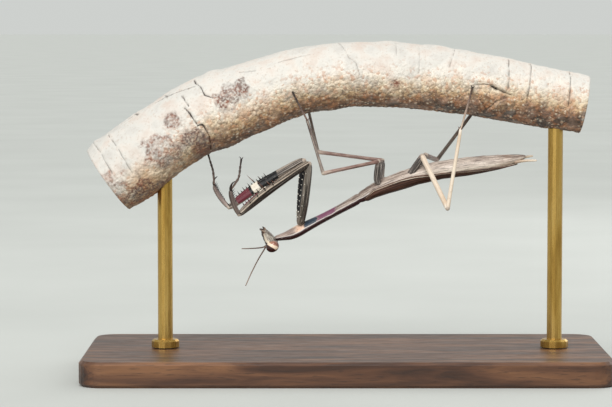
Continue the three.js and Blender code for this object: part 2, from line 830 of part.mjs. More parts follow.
const SEGMENT_MATERIALS = {
  coxa: MATERIALS.cuticle,
  femur: MATERIALS.cuticle,
  tibia: MATERIALS.paleCuticle,
  tarsus: MATERIALS.darkCuticle,
};

function buildLegs() {
  const thoraxes = { fore: prothoraxSolid(JOINT_GAP), mid: pterothoraxSolid(JOINT_GAP) };
  thoraxes.hind = joined(
    thoraxes.mid,
    abdomenSolid(JOINT_GAP),
    wingSolid(true, JOINT_GAP),
    wingSolid(false, JOINT_GAP),
  );
  for (const leg of LEGS) {
    const build = leg.pair === "fore" ? foreLeg : walkingLeg;
    for (const [segment, solid] of Object.entries(build(leg, thoraxes[leg.pair])))
      addNode(`${leg.pair}leg_${leg.side}_${segment}`, solid, SEGMENT_MATERIALS[segment]);
  }
}

buildHead();
buildBody();
buildLegs();
buildStand();

export default model;
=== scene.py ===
# %% [markdown]
# # A brown praying mantis hanging under its branch
#
# A mantis has its skeleton on the outside: every part that shows is a hard, hollow shell, and the
# parts meet at narrow joints. So the model is a set of closed shells that run into each other, each
# over the CAD solid that it stands for. Numbers below are in millimetres unless they say otherwise,
# and the factor MM turns them into Blender's metres.

import math
from contextlib import contextmanager
from functools import reduce

import bpy
import numpy as np
from mathutils import Matrix, Vector, noise


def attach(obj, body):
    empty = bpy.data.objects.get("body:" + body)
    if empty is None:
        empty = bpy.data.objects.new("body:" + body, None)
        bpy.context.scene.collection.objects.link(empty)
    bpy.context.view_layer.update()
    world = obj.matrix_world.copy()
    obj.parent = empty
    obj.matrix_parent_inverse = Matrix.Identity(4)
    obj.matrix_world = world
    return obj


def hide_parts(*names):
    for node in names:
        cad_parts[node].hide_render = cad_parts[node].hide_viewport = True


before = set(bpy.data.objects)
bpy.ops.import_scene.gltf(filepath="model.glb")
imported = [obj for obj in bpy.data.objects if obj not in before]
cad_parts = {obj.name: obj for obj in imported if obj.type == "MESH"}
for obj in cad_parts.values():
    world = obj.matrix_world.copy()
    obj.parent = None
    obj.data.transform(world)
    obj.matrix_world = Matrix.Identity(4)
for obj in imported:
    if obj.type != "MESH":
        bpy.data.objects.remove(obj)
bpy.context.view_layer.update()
MM = 0.001

# %% [markdown]
# ## The camera
#
# A small animal is looked at through a long lens from half a metre away, which keeps its
# proportions flat and true. The lens is worked out from the width of the picture and of what it
# shows.

# %% The camera
PICTURE_WIDTH = 612
MM_PER_PIXEL = 0.2
SENSOR_WIDTH = 36
AIM = Vector((-8, 0, 34)) * MM
CAMERA_DISTANCE = 500 * MM
CAMERA_RISE = math.radians(4)


def stand_up(name, data):
    """Links a new object with this data to the scene."""
    made = bpy.data.objects.new(name, data)
    bpy.context.scene.collection.objects.link(made)
    return made


camera = stand_up("camera", bpy.data.cameras.new("camera"))
bpy.context.scene.camera = camera
camera.data.sensor_width = SENSOR_WIDTH
camera.data.lens = SENSOR_WIDTH * CAMERA_DISTANCE / (PICTURE_WIDTH * MM_PER_PIXEL * MM)
camera.data.clip_start = 0.01
look = Vector((0, math.cos(CAMERA_RISE), -math.sin(CAMERA_RISE)))
camera.location = AIM - look * CAMERA_DISTANCE
camera.rotation_euler = look.to_track_quat("-Z", "Y").to_euler()
print("lens", round(camera.data.lens, 1), "mm")

# %% [markdown]
# ## Painting with nodes
#
# A finish is a tree of shader nodes, and most of its branches repeat the same few steps: stretch a
# value, multiply two, lay a colour over what is there. The class Paint has one short command for
# each step. A command takes numbers, colours written as rrggbb as on a paint card, and what comes
# out of other nodes.

# %% Selecting, and a shader tree with short commands
def pick(*pieces):
    """Leaves edit mode and selects these objects alone, so that an operator acts on no other."""
    if bpy.context.object and bpy.context.object.mode != "OBJECT":
        bpy.ops.object.mode_set(mode="OBJECT")
    bpy.ops.object.select_all(action="DESELECT")
    for piece in pieces:
        piece.select_set(True)
        bpy.context.view_layer.objects.active = pieces[0]


def primitive(name, kind, **settings):
    """One of Blender's own shapes, as from its Add menu."""
    pick()
    getattr(bpy.ops.mesh, f"primitive_{kind}_add")(**settings)
    bpy.context.object.name = name
    return bpy.context.object


def linear(code):
    """A paint card colour, rrggbb, in the linear values that a shader takes."""
    parts = [int(code[i:i + 2], 16) / 255 for i in (0, 2, 4)]
    return (*[c / 12.92 if c <= 0.04045 else ((c + 0.055) / 1.055) ** 2.4 for c in parts], 1)


class Paint:
    """A shader tree in the making. colour is what the layers so far add up to."""

    def __init__(self, tree, colour=None):
        self.tree, self.colour = tree, colour

    def plug(self, socket, value):
        """Feeds a socket with a link, a paint card colour or a plain value."""
        if isinstance(value, bpy.types.NodeSocket):
            self.tree.links.new(value, socket)
        else:
            socket.default_value = linear(value) if isinstance(value, str) else value

    def add(self, kind, sockets, output=0, **settings):
        """Adds a node and returns one of its outputs."""
        node = self.tree.nodes.new("ShaderNode" + kind)
        for name, value in settings.items():
            setattr(node, name, value)
        for name, value in sockets.items():
            self.plug(node.inputs[name], value)
        return node.outputs[output]

    def maths(self, operation, *values, kind="Math", output=0):
        return self.add(kind, dict(enumerate(values)), output, operation=operation)

    def vectors(self, operation, *values, output=0):
        return self.maths(operation, *values, kind="VectorMath", output=output)

    def times(self, first, second):
        return self.maths("MULTIPLY", first, second)

    def plus(self, first, second):
        return self.maths("ADD", first, second)

    def minus(self, first, second):
        return self.maths("SUBTRACT", first, second)

    def larger(self, first, second):
        return self.maths("MAXIMUM", first, second)

    def span(self, value, low, high, to=(0, 1), **settings):
        """The value, stretched so that low and high become 0 and 1, and held within them."""
        return self.add("MapRange", {"Value": value, "From Min": low, "From Max": high,
                                     "To Min": to[0], "To Max": to[1]}, **settings)

    def ramp(self, factor, row):
        """A colour ramp. A row is text: place and colour, place and colour."""
        stops = [stop.split() for stop in row.split(",")]
        output = self.add("ValToRGB", {"Fac": factor})
        elements = output.node.color_ramp.elements
        while len(elements) < len(stops):
            elements.new(0.5)
        for element, (place, code) in zip(elements, stops):
            element.position, element.color = float(place), linear(code)
        return output

    def mix(self, share, first, second):
        return self.add("Mix", {0: share, 6: first, 7: second}, 2, data_type="RGBA")

    def layer(self, mask, colour, share=None):
        """Lays a colour over the layers so far, where the mask says, and as thick as share."""
        mask = mask if share is None else self.times(mask, share)
        self.colour = self.mix(mask, self.colour, colour)

    def noise(self, where, scale, detail=2, output="Fac", **sockets):
        return self.add("TexNoise", {"Vector": where, "Scale": scale, "Detail": detail, **sockets},
                        output)

    def cells(self, where, scale):
        return self.add("TexVoronoi", {"Vector": where, "Scale": scale}, "Distance")

    def read(self, attribute, output="Fac"):
        return self.add("Attribute", {}, output, attribute_name=attribute)

    def here(self):
        """The object's own coordinates, in metres."""
        return self.add("TexCoord", {}, "Object")

    def group(self, group, **values):
        return self.add("Group", values, node_tree=group).node.outputs

    def finish(self, roughness, height, strength, depth):
        """Plugs in the colour, the roughness and a bump whose depth is in millimetres."""
        bump = self.add("Bump", {"Strength": strength, "Distance": depth * MM, "Height": height})
        shader = self.tree.nodes["Principled BSDF"].inputs
        for name, value in ("Base Color", self.colour), ("Roughness", roughness), ("Normal", bump):
            self.plug(shader[name], value)


def new_material(name):
    """A material, the Paint for its tree and the inputs of its shader."""
    made = bpy.data.materials.new(name)
    made.use_nodes = True
    return made, Paint(made.node_tree), made.node_tree.nodes["Principled BSDF"].inputs


print("Paint has", sum(callable(part) for part in vars(Paint).values()), "commands")

# %% [markdown]
# ## The floor and the light
#
# A pale matt floor without an edge in sight, a broad sun overhead, as daylight through leaves comes
# from above, and weak lamps from the front and from behind. The sky colour fills what they leave
# dark.

# %% The floor, the lamps and the sky
FLOOR_WIDTH = 60  # metres
LAMP_WIDTH, LAMP_WATTS = 300 * MM, 0.5
LAMPS = {"lamp_front": (-260, -420, 200), "lamp_behind": (280, 320, 260)}
SUN_WIDTH, SUN_STRENGTH, SUN_WAY = math.radians(40), 2.2, Vector((0.12, 0.65, -0.75))
SKY_COLOUR, SKY_STRENGTH = "DDE0DD", 0.85

floor = primitive("floor", "grid", x_subdivisions=8, y_subdivisions=8, size=FLOOR_WIDTH)
floor_finish, paint, shader = new_material("studio_floor")
paint.plug(shader["Base Color"],
           paint.ramp(paint.noise(paint.here(), 14, 3), "0.3 BABCB8, 0.7 C0C2BE"))
paint.plug(shader["Roughness"], 0.9)
floor.data.materials.append(floor_finish)

for name, place in LAMPS.items():
    lamp = stand_up(name, bpy.data.lights.new(name, "AREA"))
    lamp.location = Vector(place) * MM
    lamp.rotation_euler = (AIM - lamp.location).to_track_quat("-Z", "Y").to_euler()
    lamp.data.size, lamp.data.energy = LAMP_WIDTH, LAMP_WATTS
overhead = stand_up("overhead", bpy.data.lights.new("overhead", "SUN"))
overhead.data.angle, overhead.data.energy = SUN_WIDTH, SUN_STRENGTH
overhead.rotation_euler = SUN_WAY.to_track_quat("-Z", "Y").to_euler()

sky = bpy.data.worlds.new("studio_sky")
sky.use_nodes = True
backdrop = sky.node_tree.nodes["Background"].inputs
backdrop["Color"].default_value = linear(SKY_COLOUR)
backdrop["Strength"].default_value = SKY_STRENGTH
bpy.context.scene.world = sky
bpy.context.scene.view_settings.view_transform = "Standard"
print(len(LAMPS), "lamps and a sun over a floor", FLOOR_WIDTH, "m wide")

# %% [markdown]
# ## Shared effects for the shell
#
# Insect shell is never one colour. It has cloudy patches, dark and pale flecks, and fine lines that
# run along each limb. These effects come back in nearly every finish, so each is a node group with
# its own inputs, built once. A group gives out only masks and heights, and the material decides
# what colour they mean.
#
# The lines must follow a limb, wherever it points. For that, every shell carries an attribute
# called place: across, up and along the piece, written on the mesh while it is still upright on
# the bench.

# %% Node groups for flecks and for lines along a limb
def new_group(name, inputs, outputs):
    """An empty group with a vector input, named number inputs and number outputs."""
    group = bpy.data.node_groups.new(name, "ShaderNodeTree")
    group.interface.new_socket("Vector", in_out="INPUT", socket_type="NodeSocketVector")
    for label, value in inputs.items():
        group.interface.new_socket(
            label, in_out="INPUT", socket_type="NodeSocketFloat").default_value = value
    for label in outputs:
        group.interface.new_socket(label, in_out="OUTPUT", socket_type="NodeSocketFloat")
    entry, way_out = group.nodes.new("NodeGroupInput"), group.nodes.new("NodeGroupOutput")
    return group, Paint(group), entry.outputs, way_out.inputs


CLOUD_SCALE = 0.18  # the clouds' noise scale as a share of the flecks', so they are coarser
CLOUD_SPAN, DARK_SPAN, PALE_SPAN = (0.34, 0.66), (0.56, 0.7), (-0.62, -0.8)
LINE_SPAN, GAP_SPAN = (0.52, 0.66), (0.48, 0.34)
FLECKS, paint, given, result = new_group(
    "flecks", {"Size": 0.3}, ["Cloud", "Dark", "Pale", "Height"])
per_mm = paint.maths("DIVIDE", 1 / MM, given["Size"])
clouds = paint.noise(given["Vector"], paint.times(per_mm, CLOUD_SCALE), 4)
grains = paint.noise(given["Vector"], per_mm, 3)
dots = paint.cells(given["Vector"], per_mm)
torn = paint.maths("MULTIPLY_ADD", grains, -1.6, dots)
paint.plug(result["Cloud"], paint.span(clouds, *CLOUD_SPAN))
paint.plug(result["Dark"], paint.span(grains, *DARK_SPAN))
paint.plug(result["Pale"], paint.span(torn, *PALE_SPAN))
paint.plug(result["Height"], grains)

LINES, paint, given, result = new_group("lines_along", {"Count": 6, "Breaks": 3},
                                        ["Line", "Gap", "Height"])
stretch = paint.add("CombineXYZ", {"X": given["Count"], "Y": given["Count"], "Z": given["Breaks"]})
strands = paint.noise(paint.vectors("MULTIPLY", given["Vector"], stretch), 1, 4)
paint.plug(result["Line"], paint.span(strands, *LINE_SPAN))
paint.plug(result["Gap"], paint.span(strands, *GAP_SPAN))
paint.plug(result["Height"], strands)
print("groups:", FLECKS.name, LINES.name)

# %% [markdown]
# ## The shell finish
#
# One function makes the finish of every shell. It lays a row of colours along the piece, a second
# row from one side of it to the other where that is wanted, then dark and pale lines, marks and
# flecks over both. Live shell has a soft waxy gloss that varies from place to place, so the
# roughness reads the clouds too, and the fine relief is a bump.

# %% The shell finish
SHELL_SPECULAR = 0.35
SHELL_BUMP_DEPTH = 0.06
GLOSS_BELOW, GLOSS_ABOVE = 0.08, 0.12  # how far the clouds change the roughness
CLOUD_STIR = 0.06  # how far they push the row of colours, as a share of the length
SIDE_STIR, END_STIR = 0.12, 0.02  # and how far they push the edges of a mark
SIDE_EDGE, END_EDGE = (0.02, 0.1), (0.005, 0.015)  # where the edge of a mark starts and is full


def mark_mask(paint, ways, stir, axis, side, limit, start, end):
    """Where a mark lies: past a limit on one side of an axis, from start to end of the piece."""
    beside = paint.plus(paint.times(ways[axis], side), paint.times(stir, SIDE_STIR))
    along = paint.plus(ways["Z"], paint.times(stir, END_STIR))
    mask = paint.span(beside, *[limit + edge for edge in SIDE_EDGE])
    mask = paint.times(mask, paint.span(along, *[start + edge for edge in END_EDGE]))
    return paint.times(mask, paint.span(along, *[end + edge for edge in reversed(END_EDGE)]))


def shell_finish(name, along, across=None, across_share=0.7, axis="Y", dark="2A1F1B", pale="D2C3B4",
                 lines=0.5, pale_lines=0.8, line_count=7, breaks=3, fleck_size=0.35, flecks=0.35,
                 gloss=0.42, relief=0.35, marks=()):
    """The finish of one shell. along and across are ramp rows, and across runs from one side of
    the axis to the other. marks are patches: what mark_mask takes, and a colour."""
    made, paint, shader = new_material(name)
    place = paint.read("place", "Vector")
    ways = paint.add("SeparateXYZ", {0: place}).node.outputs
    fleck = paint.group(FLECKS, Vector=paint.here(), Size=fleck_size)
    line = paint.group(LINES, Vector=place, Count=line_count, Breaks=breaks)
    stirred = paint.maths("MULTIPLY_ADD", fleck["Cloud"], CLOUD_STIR, ways["Z"])
    paint.colour = paint.ramp(stirred, along)
    if across:
        beside = paint.ramp(paint.span(ways[axis], -1, 1), across)
        paint.colour = paint.mix(across_share, paint.colour, beside)
    if lines:
        paint.layer(line["Line"], dark, lines)
        paint.layer(line["Gap"], pale, lines * pale_lines)
    for *where, colour in marks:
        paint.layer(mark_mask(paint, ways, fleck["Cloud"], *where), colour)
    paint.layer(fleck["Dark"], dark, flecks)
    paint.layer(fleck["Pale"], pale, flecks * 0.5)
    shader["Specular IOR Level"].default_value = SHELL_SPECULAR
    paint.finish(paint.span(fleck["Cloud"], 0, 1, (gloss - GLOSS_BELOW, gloss + GLOSS_ABOVE)),
                 paint.plus(fleck["Height"], line["Height"]), relief, SHELL_BUMP_DEPTH)
    return made


BODY_FINISH = shell_finish(
    "body_shell",
    "0 7A6A66, 0.08 A08C86, 0.13 C9AD9C, 0.3 5E565A, 0.36 60564F, 0.46 776B64, 0.56 B4A79C, "
    "0.7 D0C4B8, 0.9 C2B5AA, 0.965 8A7264, 1 2E2320",
    # across: 6A5448 towards the back, which faces down, is painted shade; F0E2D0 at 0.52 is a
    # painted highlight just above the wing's edge
    "0 6A5448, 0.44 C9B09A, 0.52 F0E2D0, 0.6 C4B2A4, 0.8 AE9A8D, 1 957F73",
    across_share=0.5, lines=0.75, line_count=8, breaks=20, fleck_size=0.4, relief=0.6,
    dark="3E2E28", pale="EBDDCF", marks=[
        ("Y", 1, 0.2, 0.125, 0.175, "2A3745"), ("Y", 1, 0.2, 0.175, 0.26, "78485F"),
        ("Y", 1, 0.2, 0.085, 0.123, "DDBBA4"), ("Y", -1, -0.4, -0.1, 0.4, "CFC6BF"),
        # 341719 on the back of the fore body, which faces down, is painted shade
        ("Y", -1, -0.26, -0.1, 0.42, "341719")])
print("first finish:", BODY_FINISH.name)

# %% [markdown]
# ## Tools for the bench
#
# Limbs and body are tubes whose width changes from end to end. By hand one starts from a circle,
# extrudes it, resizes the new ring, extrudes again, and lets a subdivision surface round off the
# steps. The helper does just that, upright on the bench, from a short list of rings. The finished
# tube is then set in its place on the animal.

# %% Rings, sculpting and setting in place
ROUNDING = 1.045  # a subdivided ring of 12 shrinks by this much


@contextmanager
def editing(piece):
    """Edit mode with every vertex of the piece selected, as long as the with block lasts."""
    pick(piece)
    bpy.ops.object.mode_set(mode="EDIT")
    bpy.ops.mesh.select_all(action="SELECT")
    yield
    bpy.ops.object.mode_set(mode="OBJECT")


def apply_modifier(piece, kind, **settings):
    """Adds a modifier to the piece and applies it."""
    pick(piece)
    bpy.ops.object.modifier_add(type=kind)
    modifier = piece.modifiers[-1]
    for name, value in settings.items():
        setattr(modifier, name, value)
    bpy.ops.object.modifier_apply(modifier=modifier.name)


def coordinates(piece):
    """The vertices of a piece as an array, in millimetres."""
    found = np.empty(len(piece.data.vertices) * 3)
    piece.data.vertices.foreach_get("co", found)
    return found.reshape(-1, 3) / MM


def set_coordinates(piece, points):
    """Puts the vertices back, from millimetres."""
    piece.data.vertices.foreach_set("co", (points * MM).ravel())
    piece.data.update()


def store(piece, name, values):
    """Writes an attribute on the vertices: vectors or single numbers."""
    kind, key = ("FLOAT_VECTOR", "vector") if values.ndim == 2 else ("FLOAT", "value")
    layer = piece.data.attributes.get(name) or piece.data.attributes.new(name, kind, "POINT")
    layer.data.foreach_set(key, values.astype(np.float32).ravel())


def between(rows, at, *columns):
    """Some columns of a table, read between its rows where the first column is at."""
    rows = np.array(rows)
    return [np.interp(at, rows[:, 0], rows[:, i]) for i in columns]


def store_place(piece, across, up, along):
    store(piece, "place", np.stack([across, up, along], axis=1))


def bench_tube(name, rings, sides=12, levels=2):
    """An upright tube. A ring is (height, half width, half depth, shift across, shift up)."""
    rings = [tuple(ring) + (0,) * (5 - len(ring)) for ring in rings]
    height, wide, deep, over, up = rings[0]
    piece = primitive(name, "circle", vertices=sides, radius=MM * ROUNDING, fill_type="NGON")
    with editing(piece):
        bpy.ops.transform.resize(value=(wide, deep, 1), center_override=(0, 0, 0))
        bpy.ops.transform.translate(value=Vector((over, up, height)) * MM)
        for before, ring in zip(rings, rings[1:]):
            step = Vector((ring[3] - before[3], ring[4] - before[4], ring[0] - before[0])) * MM
            bpy.ops.mesh.extrude_region_move(TRANSFORM_OT_translate={"value": step})
            bpy.ops.transform.resize(
                value=(ring[1] / before[1], ring[2] / before[2], 1),
                center_override=Vector((ring[3], ring[4], ring[0])) * MM)
    apply_modifier(piece, "SUBSURF", levels=levels, render_levels=levels)
    x, y, z = coordinates(piece).T
    wide, deep, over, up = between(rings, z, 1, 2, 3, 4)
    store_place(piece, (x - over) / wide, (y - up) / deep,
                (z - rings[0][0]) / (rings[-1][0] - rings[0][0]))
    return piece


def sculpt(piece, amount):
    """Moves each vertex outwards from the tube's middle by amount(place), in millimetres."""
    place = np.empty(len(piece.data.vertices) * 3, np.float32)
    piece.data.attributes["place"].data.foreach_get("vector", place)
    points, place = coordinates(piece), place.reshape(-1, 3)
    from_middle = np.linalg.norm(place[:, :2], axis=1)
    outwards = place[:, :2] / np.maximum(from_middle, 1e-6)[:, None]
    points[:, :2] += outwards * (amount(place) * np.clip(from_middle * 2, 0, 1))[:, None]
    set_coordinates(piece, points)


def ridge(values, middle, width):
    """A smooth hump of height 1 where values are near the middle."""
    return np.exp(-((values - middle) / width) ** 2)


def tidy_faces(piece):
    """Merges doubles, turns all faces outwards and shades them smooth."""
    with editing(piece):
        bpy.ops.mesh.remove_doubles(threshold=1e-7)
        bpy.ops.mesh.normals_make_consistent(inside=False)
    bpy.ops.object.shade_smooth()


def put(piece, origin, inner, up, axis):
    """Sets a bench piece on the animal: bench X turns to inner, Y to up and Z to axis."""
    turn = Matrix((inner, up, axis)).transposed().to_4x4()
    piece.matrix_world = Matrix.Translation(Vector(origin) * MM) @ turn
    pick(piece)
    bpy.ops.object.transform_apply(location=True, rotation=True, scale=True)
    tidy_faces(piece)
    return piece


def painted(piece, finish):
    """The piece, with one finish all over."""
    piece.data.materials.clear()
    piece.data.materials.append(finish)
    return piece


def join(pieces, name):
    """Makes several pieces one object."""
    pick(*pieces)
    if len(pieces) > 1:
        bpy.ops.object.join()
    pieces[0].name = pieces[0].data.name = name
    return pieces[0]


def finish_piece(piece, slot, *nodes):
    """The piece rides on the model and stands for these CAD nodes, which it hides. slot is not
    used.
    """
    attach(piece, "root")
    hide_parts(*nodes)
    print(piece.name, len(piece.data.vertices), "vertices")


def heading(slope, drift):
    """The direction at a slope above +X and a drift away from the viewer, in degrees."""
    s, d = math.radians(slope), math.radians(drift)
    return Vector((math.cos(d) * math.cos(s), math.sin(d), math.cos(d) * math.sin(s)))


def square_to(vector, axis):
    """The part of a vector that is square to an axis, one unit long."""
    return (vector - axis * vector.dot(axis)).normalized()


print("the bench is ready")

# %% [markdown]
# ## The body
#
# Neck, prothorax, the two segments that carry the wings, and the abdomen run into each other, so
# they are one skin. The animal hangs from its feet, with its belly up and rolled a little towards
# the viewer. Its rings are listed from the neck to the tail, with the middle and the half sizes of
# each. On its own, such a tube would look like a sausage, so it is sculpted after that: a keel down
# the middle of the back, a sharp edge along both sides of the prothorax, and the overlapping belly
# plates of the abdomen.

# %% The body skin
BODY_ROLL = math.radians(15)
BODY_SLOPE = 18
BODY_RINGS = [  # x, z, half width, half depth
    (-14.3, 27.0, 0.45, 0.42), (-13.4, 27.2, 0.68, 0.56), (-12.3, 27.42, 0.95, 0.7),
    (-11.4, 27.65, 1.32, 0.92), (-9.8, 28.35, 1.72, 1.08), (-8.4, 29.15, 1.68, 1.04),
    (-6.4, 30.2, 1.2, 0.88), (-3.0, 31.95, 1.0, 0.78), (0.4, 33.8, 1.15, 0.85),
    (2.0, 34.7, 1.35, 1.0), (3.2, 35.35, 1.32, 1.0), (5.6, 36.72, 1.75, 1.28),
    (7.8, 37.6, 1.95, 1.4), (10.8, 38.62, 2.0, 1.58), (13.8, 39.67, 2.0, 1.64),
    (18.8, 40.82, 2.05, 1.62), (23.8, 41.5, 2.15, 1.68), (27.8, 42.03, 1.98, 1.5),
    (30.8, 42.42, 1.62, 1.28), (33.2, 42.8, 1.18, 1.0), (34.8, 43.15, 0.72, 0.62),
    (36.0, 43.42, 0.3, 0.22),
]
BODY_START = Vector((-14.3, 0, 27.0))
BODY_AXIS = heading(BODY_SLOPE, 0)
BELLY = square_to(Vector((0, -math.sin(BODY_ROLL), math.cos(BODY_ROLL))), BODY_AXIS)
BODY_LEFT = BELLY.cross(BODY_AXIS)
WAIST, ABDOMEN_START = 0.352, 0.36  # as shares of the body's length, like the plates
BELLY_PLATES = (0.47, 0.535, 0.6, 0.665, 0.73, 0.79, 0.85, 0.905)


def on_bench(x, z):
    """A point of the middle plane, in the body's bench coordinates: across, up and height."""
    away = Vector((x, 0, z)) - BODY_START
    return away.dot(BODY_LEFT), away.dot(BELLY), away.dot(BODY_AXIS)


def put_on_body(piece):
    return put(piece, BODY_START, BODY_LEFT, BELLY, BODY_AXIS)


def body_shape(place):
    """How far the body's surface stands out from its plain rings."""
    across, up, along = place.T
    front = np.clip((ABDOMEN_START - along) / 0.04, 0, 1)
    keel = 0.16 * front * ridge(across, 0, 0.16) * (up < 0)
    edge = 0.12 * front * ridge(up, 0.02, 0.2)
    belly = 0.1 * (1 - front) * ridge(across, 0, 0.3) * (up > 0)
    waist = -0.18 * ridge(along, WAIST, 0.006)
    plates = sum(0.09 * np.clip((along - start + 0.02) / 0.02, 0, 1) * (along < start)
                 for start in BELLY_PLATES)
    sternum = 0.12 * (np.sin(along * 260) > 0.2) * ridge(along, 0.42, 0.05) * (up > 0.2)
    return keel + edge + belly + waist + plates + sternum * 0.4


body_rings = []
for x, z, wide, deep in BODY_RINGS:
    over, up, height = on_bench(x, z)
    body_rings.append((height, wide, deep, over, up))
body_skin = painted(bench_tube("body_skin", body_rings, sides=16, levels=3), BODY_FINISH)
sculpt(body_skin, body_shape)
finish_piece(put_on_body(body_skin), "body_brown", "prothorax", "pterothorax", "abdomen")

# %% [markdown]
# ## The fore wings
#
# The two fore wings are stiff and leathery and lie rolled round the back like half a tube each, the
# near one over the far one. A wing is a sheet, so it starts as a flat grid. A formula rolls it
# round the body, rounds its tip and raises its long veins, and a Solidify modifier gives it its
# thickness. The pale line along the belly side is the wing's front edge.

# %% The fore wings
WINGED_RINGS = [  # x, z, half width, half depth of the body with its wings on
    (3.4, 35.25, 1.35, 1.0), (5.6, 36.65, 1.9, 1.4), (7.8, 37.5, 2.1, 1.52),
    (10.8, 38.5, 2.15, 1.7), (13.8, 39.55, 2.15, 1.78), (18.8, 40.7, 2.2, 1.75),
    (23.8, 41.4, 2.3, 1.8), (27.8, 41.95, 2.1, 1.6), (30.8, 42.35, 1.7, 1.35),
    (33.8, 42.85, 1.15, 1.0), (36.2, 43.45, 0.35, 0.3),
]
WING_START, WING_TIP = 3.6, 33.9
WING_THICKNESS = 0.26
WING_GRID = 150, 60
# Degrees round the body: the front edge at each x, the seam, the middle and the overlap.
WING_EDGES = [(3.6, 28), (10.8, 31), (16.8, 8), (26.8, -13), (30.8, -27), (34, -40)]
WING_SEAM, WING_MIDDLE, WING_LAP = -98, -60, 15
WING_VEINS = (0.05, 0.2, 0.33, 0.45, 0.56, 0.68, 0.8, 0.9, 0.97)


def sheet(name, columns, rows, shape):
    """A grid whose vertices go to shape(u, v), with u and v from 0 to 1."""
    piece = primitive(name, "grid", x_subdivisions=columns, y_subdivisions=rows, size=1)
    u, v = np.clip(coordinates(piece) * MM + 0.5, 0, 1)[:, :2].T
    set_coordinates(piece, shape(u, v))
    store_place(piece, v * 2 - 1, np.zeros_like(u), u)
    return piece


def wing_shape(hand, lap):
    """The formula of one wing. hand is 1 for the left one and -1 for the right one."""
    rows = [(x, wide, deep, *on_bench(x, z)) for x, z, wide, deep in WINGED_RINGS]

    def shape(u, v):
        x = WING_START + (WING_TIP - WING_START) * u
        wide, deep, over, up, height = between(rows, x, 1, 2, 3, 4, 5)
        tip, root = np.minimum(1, (1 - u) / 0.2), np.minimum(1, u / 0.08)
        round_tip = np.sqrt(np.maximum(0, 1 - (1 - tip) ** 2))
        share = 0.06 + 0.94 * round_tip * np.sqrt(1 - (1 - root) ** 2)
        middle = np.interp(u, (0, 0.12, 1), (0, WING_MIDDLE, WING_MIDDLE))
        edge = middle + (np.interp(x, *zip(*WING_EDGES)) - middle) * share
        seam = middle + (WING_SEAM + lap - middle) * share
        angle = np.radians(seam + (edge - seam) * v)
        shape.veins = sum(ridge(v + 0.03 * np.sin(u * 7 + vein * 9), vein, 0.014)
                          for vein in WING_VEINS)
        rim = 0.1 * ridge(v, 1, 0.03) + 0.12 * np.clip((v - 0.8) / 0.15, 0, 1) * np.sqrt(root)
        lift = -WING_THICKNESS / 2 + 0.045 * shape.veins + rim
        lift = lift + (0.02 if hand < 0 else -0.12) * (v < 0.5)
        return np.stack([over + hand * np.cos(angle) * (wide + lift),
                         up + np.sin(angle) * (deep + lift), height], axis=1)

    return shape


# The wing's rows are dark brown, near black towards the seam: partly the wing's own brown, partly
# painted shade of its side that faces down.
WING_FINISH = shell_finish(
    "wing_leather", "0 4A2C22, 0.25 301C16, 0.55 2A1712, 0.8 3C211A, 1 2E1D18",
    # across: near black from 0, the seam, is painted shade; 5E4234 from 0.975 is a thin line of
    # painted shade where the edge meets the abdomen; the pale line from 0.925 is the front edge
    "0 100806, 0.5 1C0F0B, 0.82 3E241A, 0.88 1C0F0B, 0.915 331C15, 0.925 FFF3E0, 0.965 F3DFC8, "
    "0.975 5E4234, 1 4E382E",
    across_share=0.85, axis="X", lines=0.45, line_count=10, breaks=7, fleck_size=0.5,
    gloss=0.38, relief=0.7, dark="0E0706", pale="7A4E3C")


def painter_of(finish):
    """Paint for a finish that is already made, to lay more colours over it."""
    tree = finish.node_tree
    shader = tree.nodes["Principled BSDF"].inputs
    return Paint(tree, shader["Base Color"].links[0].from_socket), shader


paint, shader = painter_of(WING_FINISH)
paint.layer(paint.read("vein"), "7E5642", 0.35)
paint.plug(shader["Base Color"], paint.colour)
for side, hand, lap in (("right", -1, WING_LAP), ("left", 1, 0)):
    shape = wing_shape(hand, lap)
    wing = painted(sheet(f"wing_{side}", *WING_GRID, shape), WING_FINISH)
    store(wing, "vein", shape.veins)
    apply_modifier(wing, "SOLIDIFY", thickness=WING_THICKNESS * MM, offset=0)
    finish_piece(put_on_body(wing), "wing", f"tegmen_{side}")

# %% [markdown]
# ## Threads: tail feelers, feelers and feet
#
# Round, thin, jointed parts are drawn as a curve with a radius at each point, which Blender skins
# and turns into a mesh. The joints are in the radius: it swells and narrows along the way.

# %% A thread along a smooth line
def smooth_line(points, count):
    """count points on a smooth curve through the given ones."""
    rows = np.array(points, float)
    rows = np.vstack([2 * rows[0] - rows[1], rows, 2 * rows[-1] - rows[-2]])
    found = []
    for t in np.linspace(0, len(points) - 1, count):
        i = min(int(t), len(points) - 2)
        f = t - i
        a, b, c, d = rows[i:i + 4]
        found.append(0.5 * (2 * b + (c - a) * f + (2 * a - 5 * b + 4 * c - d) * f ** 2
                            + (3 * b - a - 3 * c + d) * f ** 3))
    return np.array(found)


def thread(name, points, radius, finish, count=40, fineness=2):
    """A round piece along points, in millimetres. radius(t) is a function of 0 to 1."""
    line = smooth_line(points, count)
    curve = bpy.data.curves.new(name, "CURVE")
    curve.dimensions = "3D"
    curve.bevel_depth = MM
    curve.bevel_resolution = fineness
    curve.use_fill_caps = True
    spline = curve.splines.new("POLY")
    spline.points.add(count - 1)
    for i, (knot, point) in enumerate(zip(spline.points, line)):
        knot.co = (*(point * MM), 1)
        knot.radius = radius(i / (count - 1))
    pick(stand_up(name, curve))
    bpy.ops.object.convert(target="MESH")
    piece = bpy.context.object
    points = coordinates(piece)
    nearest = np.argmin(((points[:, None] - line[None]) ** 2).sum(axis=2), axis=1)
    away = (points - line[nearest]) * 3
    store_place(piece, away[:, 1], away[:, 2], nearest / (count - 1))
    tidy_faces(piece)
    return painted(piece, finish)


def jointed(start, end, joints, swell):
    """A radius that narrows from start to end, swells between joints and rounds off at the tip."""
    def radius(t):
        tip = math.sqrt(1 - max(0, t * 12 - 11) ** 2) * 0.85 + 0.15
        swollen = 1 + swell * abs(math.sin(math.pi * joints * t))
        return (start + (end - start) * t) * swollen * tip
    return radius


